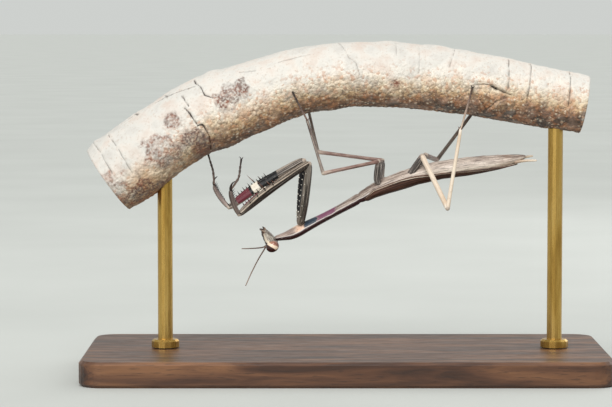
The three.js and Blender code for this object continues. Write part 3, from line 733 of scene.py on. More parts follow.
CERCI = {
    "right": [(33.6, -0.75, 42.3), (35.6, -1.2, 42.62), (38.0, -1.7, 42.7)],
    "left": [(34.1, 0.6, 42.9), (35.9, 1.15, 43.25), (37.5, 1.6, 43.45)],
}
CERCUS_FINISH = shell_finish(
    "cercus_shell", "0 9A7F6C, 0.5 CDB7A0, 1 E3D3BF", lines=0.1, flecks=0.2)
for side, points in CERCI.items():
    cercus = thread(f"cercus_{side}", points, jointed(0.3, 0.17, 9, 0.16), CERCUS_FINISH, count=60)
    finish_piece(cercus, "body_grey", f"cercus_{side}")

# %% [markdown]
# ## The legs
#
# Every leg hangs from its hip by four segments in a row: coxa, femur, tibia and tarsus. The slopes
# and drifts of each segment say where the joints come, and each segment is made upright and then
# aimed from its joint to the next.

# %% Where the joints of the legs are
LEG_LENGTHS = {
    "fore": (12.7, 17.6, 6.2, 2.8, 3.8), "mid": (4.7, 13.2, 11.15, 2.95, 3.0),
    "hind": (4.6, 14.4, 16.0, 4.2, 4.3),
}
LEG_WAYS = {  # hip, then slope and drift of coxa, femur, tibia, first foot joint and toes
    ("fore", "right"): ((-8.9, -1.25, 29.8), (83, -12), (-145, -17), (107, -33), (56, 6), (82, 7)),
    ("fore", "left"): ((-9.3, 0.75, 30.1), (86, -9), (-148, 0), (126, 33), (94, -4), (105, -24)),
    ("mid", "right"): ((6.0, -1.1, 38.0), (85, -15), (-170, -32), (107, 13), (118, 1), (117, 0)),
    ("mid", "left"): ((6.8, 0.6, 38.4), (82, 29), (173, 9), (103, 17), (108, -20), (106, -8)),
    ("hind", "right"): ((12.6, -1.3, 39.7), (56, -3), (-65, -42), (80, 12), (73, 12), (75, 3)),
    ("hind", "left"): ((13.3, 0.75, 40.3), (50, 25), (-28, 76), (56, -34), (74, -12), (76, -8)),
}


def leg_frames(pair, side):
    """The start, direction and length of each segment of a leg."""
    hip, *ways = LEG_WAYS[pair, side]
    at, found = Vector(hip), []
    for way, length in zip(ways, LEG_LENGTHS[pair]):
        along = heading(*way)
        found.append((at.copy(), along, length))
        at += along * length
    return found


def inwards(side, up, along):
    """The direction square to both, on the side of the body's middle plane."""
    across = up.cross(along).normalized()
    middle = Vector((0, 1 if side == "right" else -1, 0))
    return across if across.dot(middle) > 0 else -across


def put_segment(piece, side, segment, up):
    """Sets a bench piece on a segment of a leg."""
    start, along, length = segment
    return put(piece, start, inwards(side, up, along), up, along)


def finish_leg(parts, pair, side, slot):
    finish_piece(join(parts, f"{pair}leg_{side}"), slot,
                 *[f"{pair}leg_{side}_{part}" for part in ("coxa", "femur", "tibia")])


print(len(LEG_WAYS), "legs; the near fore knee is at",
      [round(c, 1) for c in leg_frames("fore", "right")[2][0]])

# %% [markdown]
# ## The finishes of the raptorial legs
#
# The inner face of the femur is the mantis's warning flag, shown when it spreads its arms: black, a
# cream patch, a black bar and then wine red. It is a row of boxes in the place attribute.

# %% Finishes for the fore legs
COXA_FINISH = shell_finish(
    "fore_coxa_shell", "0 A08A78, 0.16 524740, 0.6 362E29, 1 746A62",
    "0 7E7267, 0.2 2A2421, 0.45 5E544C, 0.62 161312, 0.85 4A4336, 1 80746A",
    across_share=0.6, lines=0.9, pale_lines=0.55, line_count=4.5, breaks=1.6, pale="CFC3B6",
    dark="120E0D", fleck_size=0.25, marks=[("X", 1, 0.0, 0.2, 0.86, "0A090E")])
FEMUR_FINISH = shell_finish(
    "fore_femur_shell", "0 8A7A6C, 0.2 42362F, 0.55 302722, 0.85 44372F, 1 CFC0B0",
    "0 8E7E72, 0.08 6A5B50, 0.14 140F0D, 0.34 362B25, 0.48 120D0B, 0.58 322822, 0.7 1E1714, "
    "0.76 C9B5A2, 0.82 DCCAB6, 0.86 33271F, 1 80705F",
    across_share=0.82, lines=0.9, pale_lines=0.52, line_count=5, breaks=1.6, pale="D6C8BA",
    dark="0E0907", marks=[
        ("X", 1, 0.3, 0.34, 0.575, "060609"), ("X", 1, 0.3, 0.575, 0.665, "E2D8C8"),
        ("X", 1, 0.3, 0.665, 0.7, "0A0708"), ("X", 1, 0.3, 0.7, 0.88, "62202C")])
TIBIA_FINISH = shell_finish(
    "fore_tibia_shell", "0 D8CCC0, 0.14 94847B, 0.55 65544F, 0.8 3A2926, 1 1E1412",
    "0 2E2220, 0.35 A8978F, 0.7 857370, 1 2E2220",
    across_share=0.5, lines=0.4, line_count=2.5, breaks=1.5)
SPINE_FINISH, LONG_SPINE_FINISH, WART_FINISH = [
    shell_finish(name, row, lines=0, flecks=flecks, gloss=gloss, relief=0.1)
    for name, row, flecks, gloss in (
        ("spine_horn", "0 1D1513, 1 2A1D18", 0.2, 0.25),
        ("long_spine_horn", "0 6E4636, 1 3A241E", 0.2, 0.28),
        ("wart_enamel", "0 F2ECDF, 1 E8E0CF", 0.1, 0.3))]
JOINT_FINISH = shell_finish("joint_skin", "0 B5A698, 1 A39284", lines=0, gloss=0.5)
print("fore leg finishes:", COXA_FINISH.name, FEMUR_FINISH.name, TIBIA_FINISH.name)

# %% [markdown]
# ## The raptorial legs
#
# The long coxa carries small white warts along its front edge. The femur is deep, and its gripping
# side has a groove with a row of spines on each lip, where the tibia folds in like the blade of a
# pocket knife. Spines are small cones, added at their places along the lips.

# %% Spines, warts and the segments of a fore leg
WARTS, FIRST_WART, WART_STEP, WART_TIP = 9, 0.12, 0.088, 0.5  # the steps are shares of the length
INNER_SPINES, FIRST_SPINE, SPINE_STEP = 13, 0.46, 0.036


def cone(at, along, length, radius, finish=SPINE_FINISH, tip=0.15):
    """A spine on the bench, in millimetres, with its tip's width as a share of its base."""
    along = Vector(along).normalized()
    made = primitive("cone", "cone", vertices=8, radius1=radius * MM, radius2=radius * tip * MM,
                     depth=length * MM, location=(Vector(at) + along * length / 2) * MM,
                     rotation=along.to_track_quat("Z", "Y").to_euler())
    bpy.ops.object.transform_apply(location=True, rotation=True, scale=True)
    return painted(made, finish)


def coxa_shape(place):
    """Two edges in front with a hollow between them, and one edge behind."""
    across, up, along = place.T
    return (0.1 * ridge(across, -0.75, 0.2) * (up > 0) + 0.12 * ridge(across, 0.7, 0.2) * (up > 0)
            + 0.1 * ridge(across, 0, 0.25) * (up < 0) - 0.1 * ridge(across, 0, 0.3) * (up > 0))


def coxa_piece(length):
    """The fore coxa: three-edged, with warts along its front edges, every third one large."""
    coxa = bench_tube("coxa", [
        (-0.3, 0.5, 0.58, 0.7), (0.4, 0.6, 0.7, 0.25), (length * 0.3, 0.76, 0.93),
        (length * 0.7, 0.73, 0.9), (length * 0.93, 0.6, 0.78), (length + 0.1, 0.42, 0.5)])
    sculpt(coxa, coxa_shape)
    parts = [painted(coxa, COXA_FINISH)]
    for index in range(WARTS):
        height = length * (FIRST_WART + WART_STEP * index)
        size = 0.17 if index % 3 == 1 else 0.1
        parts.append(cone((0.5, 0.72, height), (0.35, 1, 0), 0.22, size, WART_FINISH, WART_TIP))
        if index % 2 == 0:
            parts.append(cone((-0.5, 0.7, height + 0.4), (-0.4, 1, 0), 0.16, 0.09, WART_FINISH,
                              WART_TIP))
    return join(parts, "coxa")


FEMUR_ROWS = [  # share of the length, half width, half depth, shift up
    (-0.12, 0.45, 0.55, 0.2), (0.04, 0.54, 0.72, 0.3), (0.12, 0.58, 0.85, 0.38),
    (0.3, 0.62, 0.9, 0.55), (0.56, 0.66, 1.12, 0.68), (0.72, 0.64, 1.12, 0.55),
    (0.87, 0.55, 0.92, 0.25), (0.96, 0.5, 0.72, 0.06), (1.005, 0.36, 0.5, 0)]
OUTER_SPINES = (0.5, 0.95), (0.61, 1.1), (0.72, 1.05), (0.83, 0.85)  # share, length
DISC_SPINES = (0.43, 0.7), (0.47, 1.0), (0.52, 1.5), (0.6, 3.0)  # in the groove


def femur_shape(place):
    """The groove of the femur, its two lips and the keels of its sides."""
    across, up, along = place.T
    grip = np.clip((along - 0.36) / 0.08, 0, 1) * np.clip((0.97 - along) / 0.05, 0, 1)
    groove = -0.34 * grip * ridge(across, 0, 0.34) * (up > 0)
    lips = 0.07 * grip * (ridge(across, 0.72, 0.16) + ridge(across, -0.72, 0.16)) * (up > 0.2)
    keels = 0.045 * (ridge(up, -0.1, 0.1) + ridge(up, 0.45, 0.1) + ridge(up, -0.6, 0.1))
    return groove + lips + keels


def femur_piece(length):
    """The fore femur: deep, grooved on its gripping side, with four kinds of spines."""
    femur = bench_tube("femur", [(max(t, -0.01) * length, wide, deep, 0, up)
                                 for t, wide, deep, up in FEMUR_ROWS], levels=3)
    sculpt(femur, femur_shape)
    parts = [painted(femur, FEMUR_FINISH)]

    def lip(t, across):
        wide, deep, up = between(FEMUR_ROWS, t, 1, 2, 3)
        return Vector((across * wide * 0.72, up + deep * 0.7, t * length))
    for index in range(INNER_SPINES):  # long and short in turn
        size = 0.85 if index % 2 == 0 else 0.5
        parts.append(cone(lip(FIRST_SPINE + SPINE_STEP * index, 1), (0.25, 1, 0.12), size, 0.13))
    for t, size in OUTER_SPINES:
        parts.append(cone(lip(t, -1), (-0.35, 1, 0.1), size, 0.15))
    for t, size in DISC_SPINES:
        parts.append(cone(lip(t, 0.1) - Vector((0, 0.25, 0)), (0.1, 1, 0.25), size, 0.14,
                          LONG_SPINE_FINISH))
    for across in (-1, 1):  # the knee lobes
        parts.append(cone((across * 0.4, 0.3, length * 0.985), (across * 0.4, 1, 0.3), 0.5, 0.14))
    return join(parts, "femur")


TIBIA_ROWS = [  # share of the length, half width, half depth, shift up
    (0, 0.33, 0.38, 0.0), (0.15, 0.4, 0.46, -0.18), (0.4, 0.42, 0.5, -0.33),
    (0.7, 0.42, 0.52, -0.33), (0.92, 0.36, 0.46, -0.2), (1.02, 0.26, 0.34, 0.0)]
COMBS = (0.8, 11, 0.3), (-0.8, 8, 0.38)  # side, number of spines, where the comb starts
COMB_END = 0.96


def fore_tibia_piece(length):
    """The fore tibia: bowed, with a comb of spines and a long curved claw at its end."""
    tibia = painted(bench_tube("tibia", [(t * length, wide, deep, 0, up)
                                         for t, wide, deep, up in TIBIA_ROWS]), TIBIA_FINISH)
    sculpt(tibia, lambda place: 0.04 * ridge(np.abs(place[:, 0]), 0.75, 0.15) * (place[:, 1] > 0))
    parts = [tibia]
    for across, count, first in COMBS:
        for index in range(count):
            t = first + (COMB_END - first) * index / (count - 1)
            parts.append(cone(
                (across * 0.34, 0.12 - 0.3 * math.sin(math.pi * t) + 0.1, t * length),
                (across * 0.35, 1, 0.75), 0.42 + 0.4 * t, 0.085))
    claw = [(0, 0.0, length * 0.93), (0, 0.15, length + 0.5), (0, 0.75, length + 1.2),
            (0, 1.55, length + 1.35)]
    parts.append(thread("claw", claw, lambda t: 0.3 * (1 - t) ** 0.7 + 0.03, SPINE_FINISH,
                        count=24, fineness=3))
    return join(parts, "tibia")


def knob(at, radius):
    """A ball of joint skin in a hinge."""
    made = primitive("knob", "uv_sphere", segments=20, ring_count=12, radius=radius * MM,
                     location=Vector(at) * MM)
    bpy.ops.object.transform_apply(location=True)
    return painted(made, JOINT_FINISH)


for side in ("right", "left"):
    coxa, femur, tibia, foot, toes = leg_frames("fore", side)
    finish_leg([
        put_segment(coxa_piece(coxa[2]), side, coxa, square_to(femur[1], coxa[1])),
        put_segment(femur_piece(femur[2]), side, femur, square_to(tibia[1], femur[1])),
        put_segment(fore_tibia_piece(tibia[2]), side, tibia, square_to(-femur[1], tibia[1])),
        knob(femur[0], 0.52), knob(tibia[0], 0.4)], "fore", side, "foreleg")

# %% [markdown]
# ## The walking legs
#
# The middle and hind legs are plain thin rods by comparison. What makes them look real is in the
# ends: a stout ribbed coxa, a small ring where the femur starts, a knee that is thicker than the
# shin, and two spurs at the ankle. The near hind leg is much paler than the others.

# %% The walking legs
WALKING_SIZES = {  # radii: coxa, start and middle of the femur, knee, shin, ankle
    "mid": (0.68, 0.42, 0.36, 0.4, 0.29, 0.27), "hind": (0.72, 0.56, 0.52, 0.47, 0.37, 0.3),
}
HIP_FINISH = shell_finish(
    "hip_shell", "0 6E635E, 0.4 524A46, 0.85 443E3A, 1 7E6E66",
    lines=0.95, line_count=4, breaks=1.0, pale="CABDB2", dark="1C1817", fleck_size=0.3)
ROSE_FINISH = shell_finish(
    "rose_shell", "0 5E463F, 0.12 8A6C63, 0.5 866860, 0.88 97786F, 1 C2AC9F",
    line_count=2, breaks=6, fleck_size=0.5, flecks=0.3)
ASH_FINISH = shell_finish(
    "ash_shell", "0 C0B0A6, 0.1 85786F, 0.6 6E6059, 1 4C3E39",
    line_count=2, breaks=8, fleck_size=0.45)
CREAM_FINISH = shell_finish(
    "cream_shell", "0 8F7668, 0.07 D9C7B3, 0.5 DECEBB, 0.93 D2BCA4, 1 E6DACB",
    lines=0.25, line_count=2, breaks=5, fleck_size=0.5, flecks=0.25, dark="8A6A52")
RIBS, SUNK = 0.055, 1.1  # of the coxa: the height of its ribs, and its depth in the body


def rod_piece(name, length, start, middle, end, finish, ribs=0.0, sunk=0.0, spurs=False):
    """One segment of a walking leg, with ribs along it and spurs at its end if wanted. Its start
    can be sunk sideways into the body."""
    rod = bench_tube(name, [
        (-0.08 - sunk / 2, start * 0.8, start * 0.8, sunk),
        (0.25 - sunk / 3, start * 1.08, start * 1.08, sunk * 0.55),
        (0.6, start * 0.98, start * 0.98, sunk * 0.15), (length * 0.2 + sunk / 3, middle, middle),
        (length * 0.85, middle * 0.97, middle * 0.97), (length - 0.45, end, end * 1.06),
        (length - 0.1, end * 1.02, end * 1.12), (length + 0.12, end * 0.7, end * 0.75)])
    if ribs:
        sculpt(rod, lambda place: ribs * np.cos(
            6 * np.arctan2(place[:, 1], place[:, 0])) * np.sin(np.pi * np.clip(place[:, 2], 0, 1)))
    parts = [painted(rod, finish)]
    if spurs:
        parts += [cone((across * end * 0.7, end * 0.4, length - 0.15), (across * 0.5, 0.3, 1), 0.75,
                       0.1, LONG_SPINE_FINISH) for across in (-1, 1)]
    return join(parts, name)


for pair, side in list(LEG_WAYS)[2:]:
    pale = (pair, side) == ("hind", "right")
    thigh_finish, shin_finish = (CREAM_FINISH,) * 2 if pale else (ROSE_FINISH, ASH_FINISH)
    coxa, femur, tibia, foot, toes = leg_frames(pair, side)
    stout, hip, thigh, knee, shin, ankle = WALKING_SIZES[pair]
    limb = [
        put_segment(rod_piece("rod", segment[2], *sizes), side, segment,
                    square_to(Vector((0, 0, 1)), segment[1]))
        for segment, *sizes in (
            (coxa, stout, stout * 0.96, hip * 1.05, HIP_FINISH, RIBS, SUNK),
            (femur, hip, thigh, knee, thigh_finish),
            (tibia, knee * 0.92, shin, ankle, shin_finish, 0, 0, True))]
    finish_leg(limb + [knob(femur[0], hip * 1.02), knob(tibia[0], knee * 0.95)], pair, side,
               "walking_leg")

# %% [markdown]
# ## The feet
#
# A foot has five joints, a long one, three short ones with a swollen sole, and a long one that ends
# in two hooks. With these the animal holds on to the bark.

# %% The feet
FOOT_FINISH = shell_finish(
    "foot_shell", "0 8A7064, 0.3 5E4A43, 0.7 3E302C, 1 241A18",
    lines=0.2, flecks=0.3, fleck_size=0.3)
PALE_FOOT_FINISH = shell_finish(
    "pale_foot_shell", "0 CDB9A6, 0.35 A18A7B, 0.75 6E574C, 1 3A2A25",
    lines=0.2, flecks=0.3, fleck_size=0.3)
FOOT_JOINTS = (0.0, 0.42, 0.55, 0.66, 0.77, 1.0)  # as shares of the foot's length
SOLE_RADIUS, SOLE_SWELL = 0.17, 0.09
TOE_RADIUS, TOE_SWELL = 0.16, 0.05
HOOK = [(-0.1, 0, 0), (0.25, 0.22, 0), (0.38, 0.36, 0.18), (0.3, 0.42, 0.4)]  # on, aside, down


def foot_radius(t):
    """The radius along a foot: each joint starts narrow and flares towards its end."""
    for start, end in zip(FOOT_JOINTS, FOOT_JOINTS[1:]):
        if t <= end:
            share = (t - start) / (end - start)
            if t < 0.78:
                return SOLE_RADIUS + SOLE_SWELL * share ** 1.5
            return TOE_RADIUS + TOE_SWELL * share
    return TOE_RADIUS


for pair, side in LEG_WAYS:
    *_, (heel, sole_way, sole_length), (ball_at, on, toe_length) = leg_frames(pair, side)
    tip = ball_at + on * toe_length
    name = f"{pair}leg_{side}_foot"
    finish = PALE_FOOT_FINISH if (pair, side) == ("hind", "right") else FOOT_FINISH
    parts = [thread(name, [heel - sole_way * 0.15, heel + sole_way * sole_length * 0.6,
                           ball_at + on * 0.3, ball_at + on * toe_length * 0.6, tip],
                    foot_radius, finish, count=80, fineness=3)]
    aside = inwards(side, square_to(Vector((0.3, 0.5, 0.8)), on), on)
    down = on.cross(aside)
    for hand in (-1, 1):
        hook = [tip + on * a + aside * hand * b + down * c for a, b, c in HOOK]
        parts.append(thread("hook", hook, lambda t: 0.1 * (1 - t) + 0.02, SPINE_FINISH,
                            count=14, fineness=1))
    finish_piece(join(parts, name), "foot", f"{pair}leg_{side}_tarsus")

# %% [markdown]
# ## The marks, painted light and painted shade of the head
#
# The face is pale. Its crown and the middle and front of its face turn away from the light and are
# painted dark as painted shade. A cream band, partly the pale cheek and partly painted light where
# the cheek faces the light, runs slantwise over the cheek and on across the eye. Band and shade
# must cross from the head to the eye without a break, so they are a group that works in the head's
# own directions and lies over both finishes.

# %% Finishes, marks, painted light and painted shade of the head
HEAD_MIDDLE = Vector((-15.4, -0.2, 27.1))
HEAD_AXIS = heading(113, -8)
HEAD_LEFT = square_to(Vector((0, 1, 0)), HEAD_AXIS)
HEAD_FACE = HEAD_AXIS.cross(HEAD_LEFT)
HEAD_FINISH = shell_finish(
    "head_shell", "0 7C6C62, 0.4 9A9088, 0.75 A89A88, 1 6A5448",
    "0 4E4A48, 0.25 8E8880, 0.6 A89E90, 1 5A463C",
    across_share=0.6, lines=0.75, line_count=4, breaks=7, fleck_size=0.3, flecks=0.5,
    pale="D8D2C4", dark="2A201D")
FACE_FINISH = shell_finish(
    "face_plate", "0 5A4034, 0.5 3A2720, 1 5E463A", lines=0.3, line_count=3,
    fleck_size=0.2, pale="A08672", dark="1C1210", gloss=0.34)
# The eye's dark maroon at its crown end and its front is partly its dark rim and partly painted
# shade where it turns down and away from the light; its pale flecks are painted glints.
EYE_FINISH = shell_finish(
    "compound_eye", "0 2A0F0E, 0.3 5A2A24, 0.6 9A6654, 1 B98F7A",
    "0 4A4C55, 0.2 8A5648, 0.45 A8705C, 0.72 5A2620, 1 2A0E0E",
    # pale flecks E3BBA4: painted glints
    across_share=0.5, lines=0.35, line_count=3, breaks=2, pale="E3BBA4", dark="2A0F0E",
    flecks=0.4, fleck_size=0.3, gloss=0.2, relief=0.15)
OCELLUS_FINISH = shell_finish(
    "simple_eye", "0 C98A4A, 1 E2B06A", lines=0, flecks=0.1, gloss=0.15, relief=0.05)
FRONT_SHARE, BAND_SHARE = 0.94, 0.92
# The band's middle and half width, in mm towards the face, between two heights of the head.
BAND_SLANT, BAND_WIDTHS = (-2.2, 0.3, (-0.75, 0.78)), (-1.4, 1.5, (0.4, 0.2))
BAND_START, CROWN_END = (-2.35, -1.95), (-1.95, -2.25)  # heights, where each fades
BAND_EDGE, FRONT_EDGE = (0.08, -0.1), (-0.08, 0.1)
MIDDLE_SIDES, MIDDLE_FRONT = (0.9, 0.7), (0.4, 0.6)

HEAD_MARKS_AND_SHADE, paint, given, result = new_group("head_marks_and_shade", {}, ["Front", "BandAndLight"])
from_middle = paint.vectors("SUBTRACT", given["Vector"], HEAD_MIDDLE * MM)
face, down, over = [paint.vectors("DOT_PRODUCT", from_middle, way / MM, output="Value")
                    for way in (HEAD_FACE, HEAD_AXIS, HEAD_LEFT)]
over = paint.maths("ABSOLUTE", over)
band_line = paint.span(down, *BAND_SLANT, interpolation_type="SMOOTHSTEP")
band_half = paint.span(down, *BAND_WIDTHS)
ahead = paint.minus(face, band_line)
beside = paint.minus(paint.maths("ABSOLUTE", ahead), band_half)
# The cream band: partly the pale cheek, partly painted light where the cheek faces the light.
band = paint.times(paint.span(beside, *BAND_EDGE), paint.span(down, *BAND_START))
# The middle of the face front, everything in front of the band and the crown end are painted dark:
# painted shade where face and crown turn away from the light.
middle = paint.times(paint.span(over, *MIDDLE_SIDES), paint.span(face, *MIDDLE_FRONT))
front = paint.larger(paint.span(paint.minus(ahead, band_half), *FRONT_EDGE),
                     paint.span(down, *CROWN_END))
paint.plug(result["Front"], paint.larger(front, middle))
paint.plug(result["BandAndLight"], paint.times(band, paint.minus(1.0, middle)))
# Dark is painted shade; cream is the band with painted light on it, on the head and on the eye.
for finish, cream, dark in ((HEAD_FINISH, "F3E3CC", "1E100E"), (EYE_FINISH, "F6E0C6", "2C0C0D")):
    paint, shader = painter_of(finish)
    marks = paint.group(HEAD_MARKS_AND_SHADE, Vector=paint.here())
    paint.layer(marks["Front"], dark, FRONT_SHARE)
    paint.layer(marks["BandAndLight"], cream, BAND_SHARE)
    paint.plug(shader["Base Color"], paint.colour)
print("marks lie over", HEAD_FINISH.name, "and", EYE_FINISH.name)

# %% [markdown]
# ## The head
#
# A mantis's head is a flat triangle that hangs from a thin neck, with an eye on each upper corner
# and the mouth at the lowest one. The capsule is a tube of rings again, from the crown to the lip.
# On its face lie the plates that an entomologist names: the frontal shield, the clypeus and the
# lip. Between the feelers sit three simple eyes like drops of amber.

# %% The head capsule and the plates of the face
HEAD_TOP, HEAD_LENGTH = -2.675, 4.6
HEAD_RINGS = [  # share of the length, half width, half depth, shift to the face
    (0, 0.85, 0.4, 0), (0.05, 1.2, 0.62, -0.02), (0.14, 1.5, 0.88, -0.05),
    (0.3, 1.75, 1.1, -0.08), (0.5, 1.6, 1.12, -0.05), (0.7, 1.2, 0.95, 0.1),
    (0.88, 0.85, 0.75, 0.28), (0.97, 0.68, 0.6, 0.36), (1, 0.5, 0.42, 0.38),
]
FACE_PLATES = {  # middle and half sizes: across, to the face, down
    "frontal_shield": ((0, 0.97, -0.62), (0.78, 0.17, 0.34)),
    "clypeus": ((0, 0.98, 0.12), (0.66, 0.18, 0.38)),
    "upper_lip": ((0, 0.93, 0.98), (0.5, 0.2, 0.46)),
}
EYE_REACH, EYE_FORWARD, EYE_HEIGHT = 2.15, -0.05, -1.45
EYE_HALVES = (1.0, 1.32, 1.12)


def put_on_head(piece):
    return put(piece, HEAD_MIDDLE, HEAD_LEFT, HEAD_FACE, HEAD_AXIS)


def head_shape(place):
    """The relief of the capsule: a groove behind each eye, the crown's furrows, a flat face."""
    across, up, along = place.T
    crown = 0.1 * ridge(along, 0.02, 0.08)
    furrows = -0.07 * (ridge(across, 0.35, 0.07) + ridge(across, -0.35, 0.07)) * (along < 0.3)
    orbit = 0.12 * ridge(np.abs(across), 0.72, 0.1) * ridge(along, 0.3, 0.2)
    cheek = 0.07 * ridge(up, 0.45, 0.12) * np.clip((along - 0.35) / 0.1, 0, 1)
    face = -0.12 * (up > 0.6) * ridge(along, 0.34, 0.1)
    return crown + furrows + orbit + cheek + face


def reshape(piece, halves, middle):
    """Stretches a bench piece by its half sizes and sets its middle."""
    set_coordinates(piece, coordinates(piece) * np.array(halves) + np.array(middle))
    return piece


def ball(name, at, halves, finish, segments=24):
    """An ellipsoid on the bench, with its place marked from -1 to 1 across and up."""
    piece = primitive(name, "uv_sphere", segments=segments, ring_count=segments // 2, radius=MM)
    across, up, along = coordinates(piece).T
    store_place(piece, across, up, along / 2 + 0.5)
    return painted(reshape(piece, halves, at), finish)


def plate(name, middle, halves):
    """A plate like a flat cushion with square corners: a ball whose sides are pushed outwards."""
    piece = ball(name, (0, 0, 0), (1, 1, 1), FACE_FINISH, 32)
    points = coordinates(piece)
    points[:, [0, 2]] = np.sign(points[:, [0, 2]]) * np.abs(points[:, [0, 2]]) ** 0.6
    points[:, 1] -= 0.5 * points[:, 0] ** 2
    set_coordinates(piece, points * np.array(halves) + np.array(middle))
    return piece


head_rings = [(HEAD_TOP + share * HEAD_LENGTH, wide, deep, 0, shift)
              for share, wide, deep, shift in HEAD_RINGS]
capsule = painted(bench_tube("capsule", head_rings, sides=16, levels=3), HEAD_FINISH)
sculpt(capsule, head_shape)
face_parts = [capsule] + [plate(name, *sizes) for name, sizes in FACE_PLATES.items()]
for across, height in ((0, -1.85), (0.36, -1.55), (-0.36, -1.55)):
    face_parts.append(ball("ocellus", (across, 0.92, height), (0.17, 0.14, 0.17),
                           OCELLUS_FINISH, 16))
for hand in (-1, 1):
    rim = painted(primitive(
        "rim", "torus", major_segments=40, minor_segments=10, major_radius=1.03 * MM,
        minor_radius=0.1 * MM, rotation=(0, math.radians(90), 0)), HEAD_FINISH)
    bpy.ops.object.transform_apply(rotation=True)
    face_parts.append(reshape(rim, (1, 1.12, 0.95),
                              (hand * (EYE_REACH - 0.42), EYE_FORWARD, EYE_HEIGHT)))
    face_parts.append(ball("socket", (hand * 1.5, -0.05, -1.42), (0.95, 1.2, 1.08),
                           HEAD_FINISH, 32))
finish_piece(put_on_head(join(face_parts, "head_capsule")), "head", "head")

# %% [markdown]
# ## The eyes
#
# Each eye is most of a ball, wider than the head's corner that carries it, and sunk into its rim.
# It is separate and glossier than the shell, and its many facets are a very fine pattern of cells.

# %% The compound eyes
FACETS_PER_MM, FACET_DEPTH = 9, 0.02

paint, shader = painter_of(EYE_FINISH)
facets = paint.cells(paint.here(), FACETS_PER_MM / MM)
paint.plug(shader["Normal"], paint.add("Bump", {
    "Strength": 0.25, "Distance": FACET_DEPTH * MM, "Height": facets}, invert=True))
paint.plug(shader["Coat Weight"], 0.4)
for side, hand in (("right", -1), ("left", 1)):
    eye = ball(f"eye_{side}_ball", (hand * EYE_REACH, EYE_FORWARD, EYE_HEIGHT), EYE_HALVES,
               EYE_FINISH, 48)
    finish_piece(put_on_head(eye), "eye", f"eye_{side}")

# %% [markdown]
# ## Feelers and mouthparts
#
# A feeler is a thread of dozens of tiny joints on two thicker ones. The jaws are short dark hooks
# under the lip, and beside them hang two pairs of jointed palps, which taste.

# %% The feelers, the jaws and the palps
FEELER_FINISH = shell_finish(
    "feeler_shell", "0 8A6E5E, 0.1 6A5044, 0.5 5A443A, 1 8E7566",
    lines=0, flecks=0.3, fleck_size=0.2)
FEELERS = {
    "right": [(-16.0, -0.55, 25.4), (-16.5, -0.9, 24.6), (-17.5, -2.0, 23.0),
              (-18.8, -4.6, 20.6), (-19.9, -7.6, 18.3)],
    "left": [(-16.0, 0.4, 25.4), (-16.8, 0.8, 25.1), (-18.0, 1.6, 24.9), (-19.8, 3.9, 24.6),
             (-21.0, 7.2, 24.3)],
}
FEELER_ROOTS = (0.06, 0.23), (0.1, 0.18)  # where each stout joint ends, and its radius
BEADS_PER_FEELER = 190


def feeler_radius(t):
    """Two stout joints at the root, then a fine beaded whip."""
    for end, radius in FEELER_ROOTS:
        if t < end:
            return radius
    return (0.155 - 0.06 * t) * (1 + 0.14 * math.sin(t * BEADS_PER_FEELER))


for side, points in FEELERS.items():
    whip = thread(f"feeler_{side}", points, feeler_radius, FEELER_FINISH, count=160)
    finish_piece(whip, "feeler", f"antenna_{side}")

JAW_FINISH = shell_finish(
    "jaw_horn", "0 5A3F33, 0.6 3A2620, 1 1A1210", lines=0.1, flecks=0.3, gloss=0.3)
PALP_FINISH = shell_finish(
    "palp_shell", "0 8A7262, 0.5 A08876, 0.75 5A443A, 1 33241E", lines=0.1, flecks=0.3)
mouth = []
for hand in (-1, 1):
    for name, radius, finish, settings, points in (
        ("jaw", lambda t: 0.3 * (1 - t) ** 0.6 + 0.06, JAW_FINISH, {"count": 16, "fineness": 3},
         [(0.5, 0.55, 1.3), (0.48, 0.62, 1.8), (0.2, 0.66, 2.25)]),
        ("long_palp", jointed(0.11, 0.07, 5, 0.4), PALP_FINISH, {"count": 50},
         [(0.62, 0.15, 1.1), (0.82, 0.35, 1.7), (0.62, 0.75, 2.2), (0.35, 1.05, 2.35)]),
        ("short_palp", jointed(0.1, 0.07, 3, 0.4), PALP_FINISH, {"count": 30},
         [(0.25, -0.05, 1.5), (0.42, 0.0, 2.1), (0.3, 0.35, 2.6)]),
    ):
        points = [(hand * across, ahead, down) for across, ahead, down in points]
        mouth.append(thread(name, points, radius, finish, **settings))
mouth.append(ball("lower_lip", (0, 0.25, 1.9), (0.42, 0.3, 0.42), PALP_FINISH, 16))
finish_piece(put_on_head(join(mouth, "jaws_and_palps")), "mouthparts", "mouthparts")

# %% [markdown]
# ## The branch
#
# The perch is a short length of a thin branch, sawn at both ends. It starts as one large grid that
# a formula rolls round the branch's curved middle line. The bark is relief, not only colour: low
# lumps, fine grain, scabs, cracks and knots push each vertex in or out. The cracks are short lists
# of places along and round the branch. How dark each crack is painted, partly its dark inside and
# partly painted shade in its hollow, is kept as an attribute called depth, so the finish can darken
# it.

# %% The lines of the branch, its cracks and its knots
BRANCH_ROWS = [  # x, z, radius
    (-47.4, 38.8, 7.1), (-43.2, 41.8, 7.6), (-37.2, 46.3, 7.2), (-31.2, 50.2, 7.3),
    (-25.2, 52.8, 7.5), (-19.2, 55.0, 7.0), (-13.2, 57.2, 6.7), (-7.2, 58.85, 6.45),
    (0.8, 59.75, 6.4), (10.8, 59.6, 6.3), (20.8, 58.6, 6.25), (30.8, 56.9, 6.15),
    (40.8, 55.0, 5.9), (47.4, 53.85, 5.6),
]
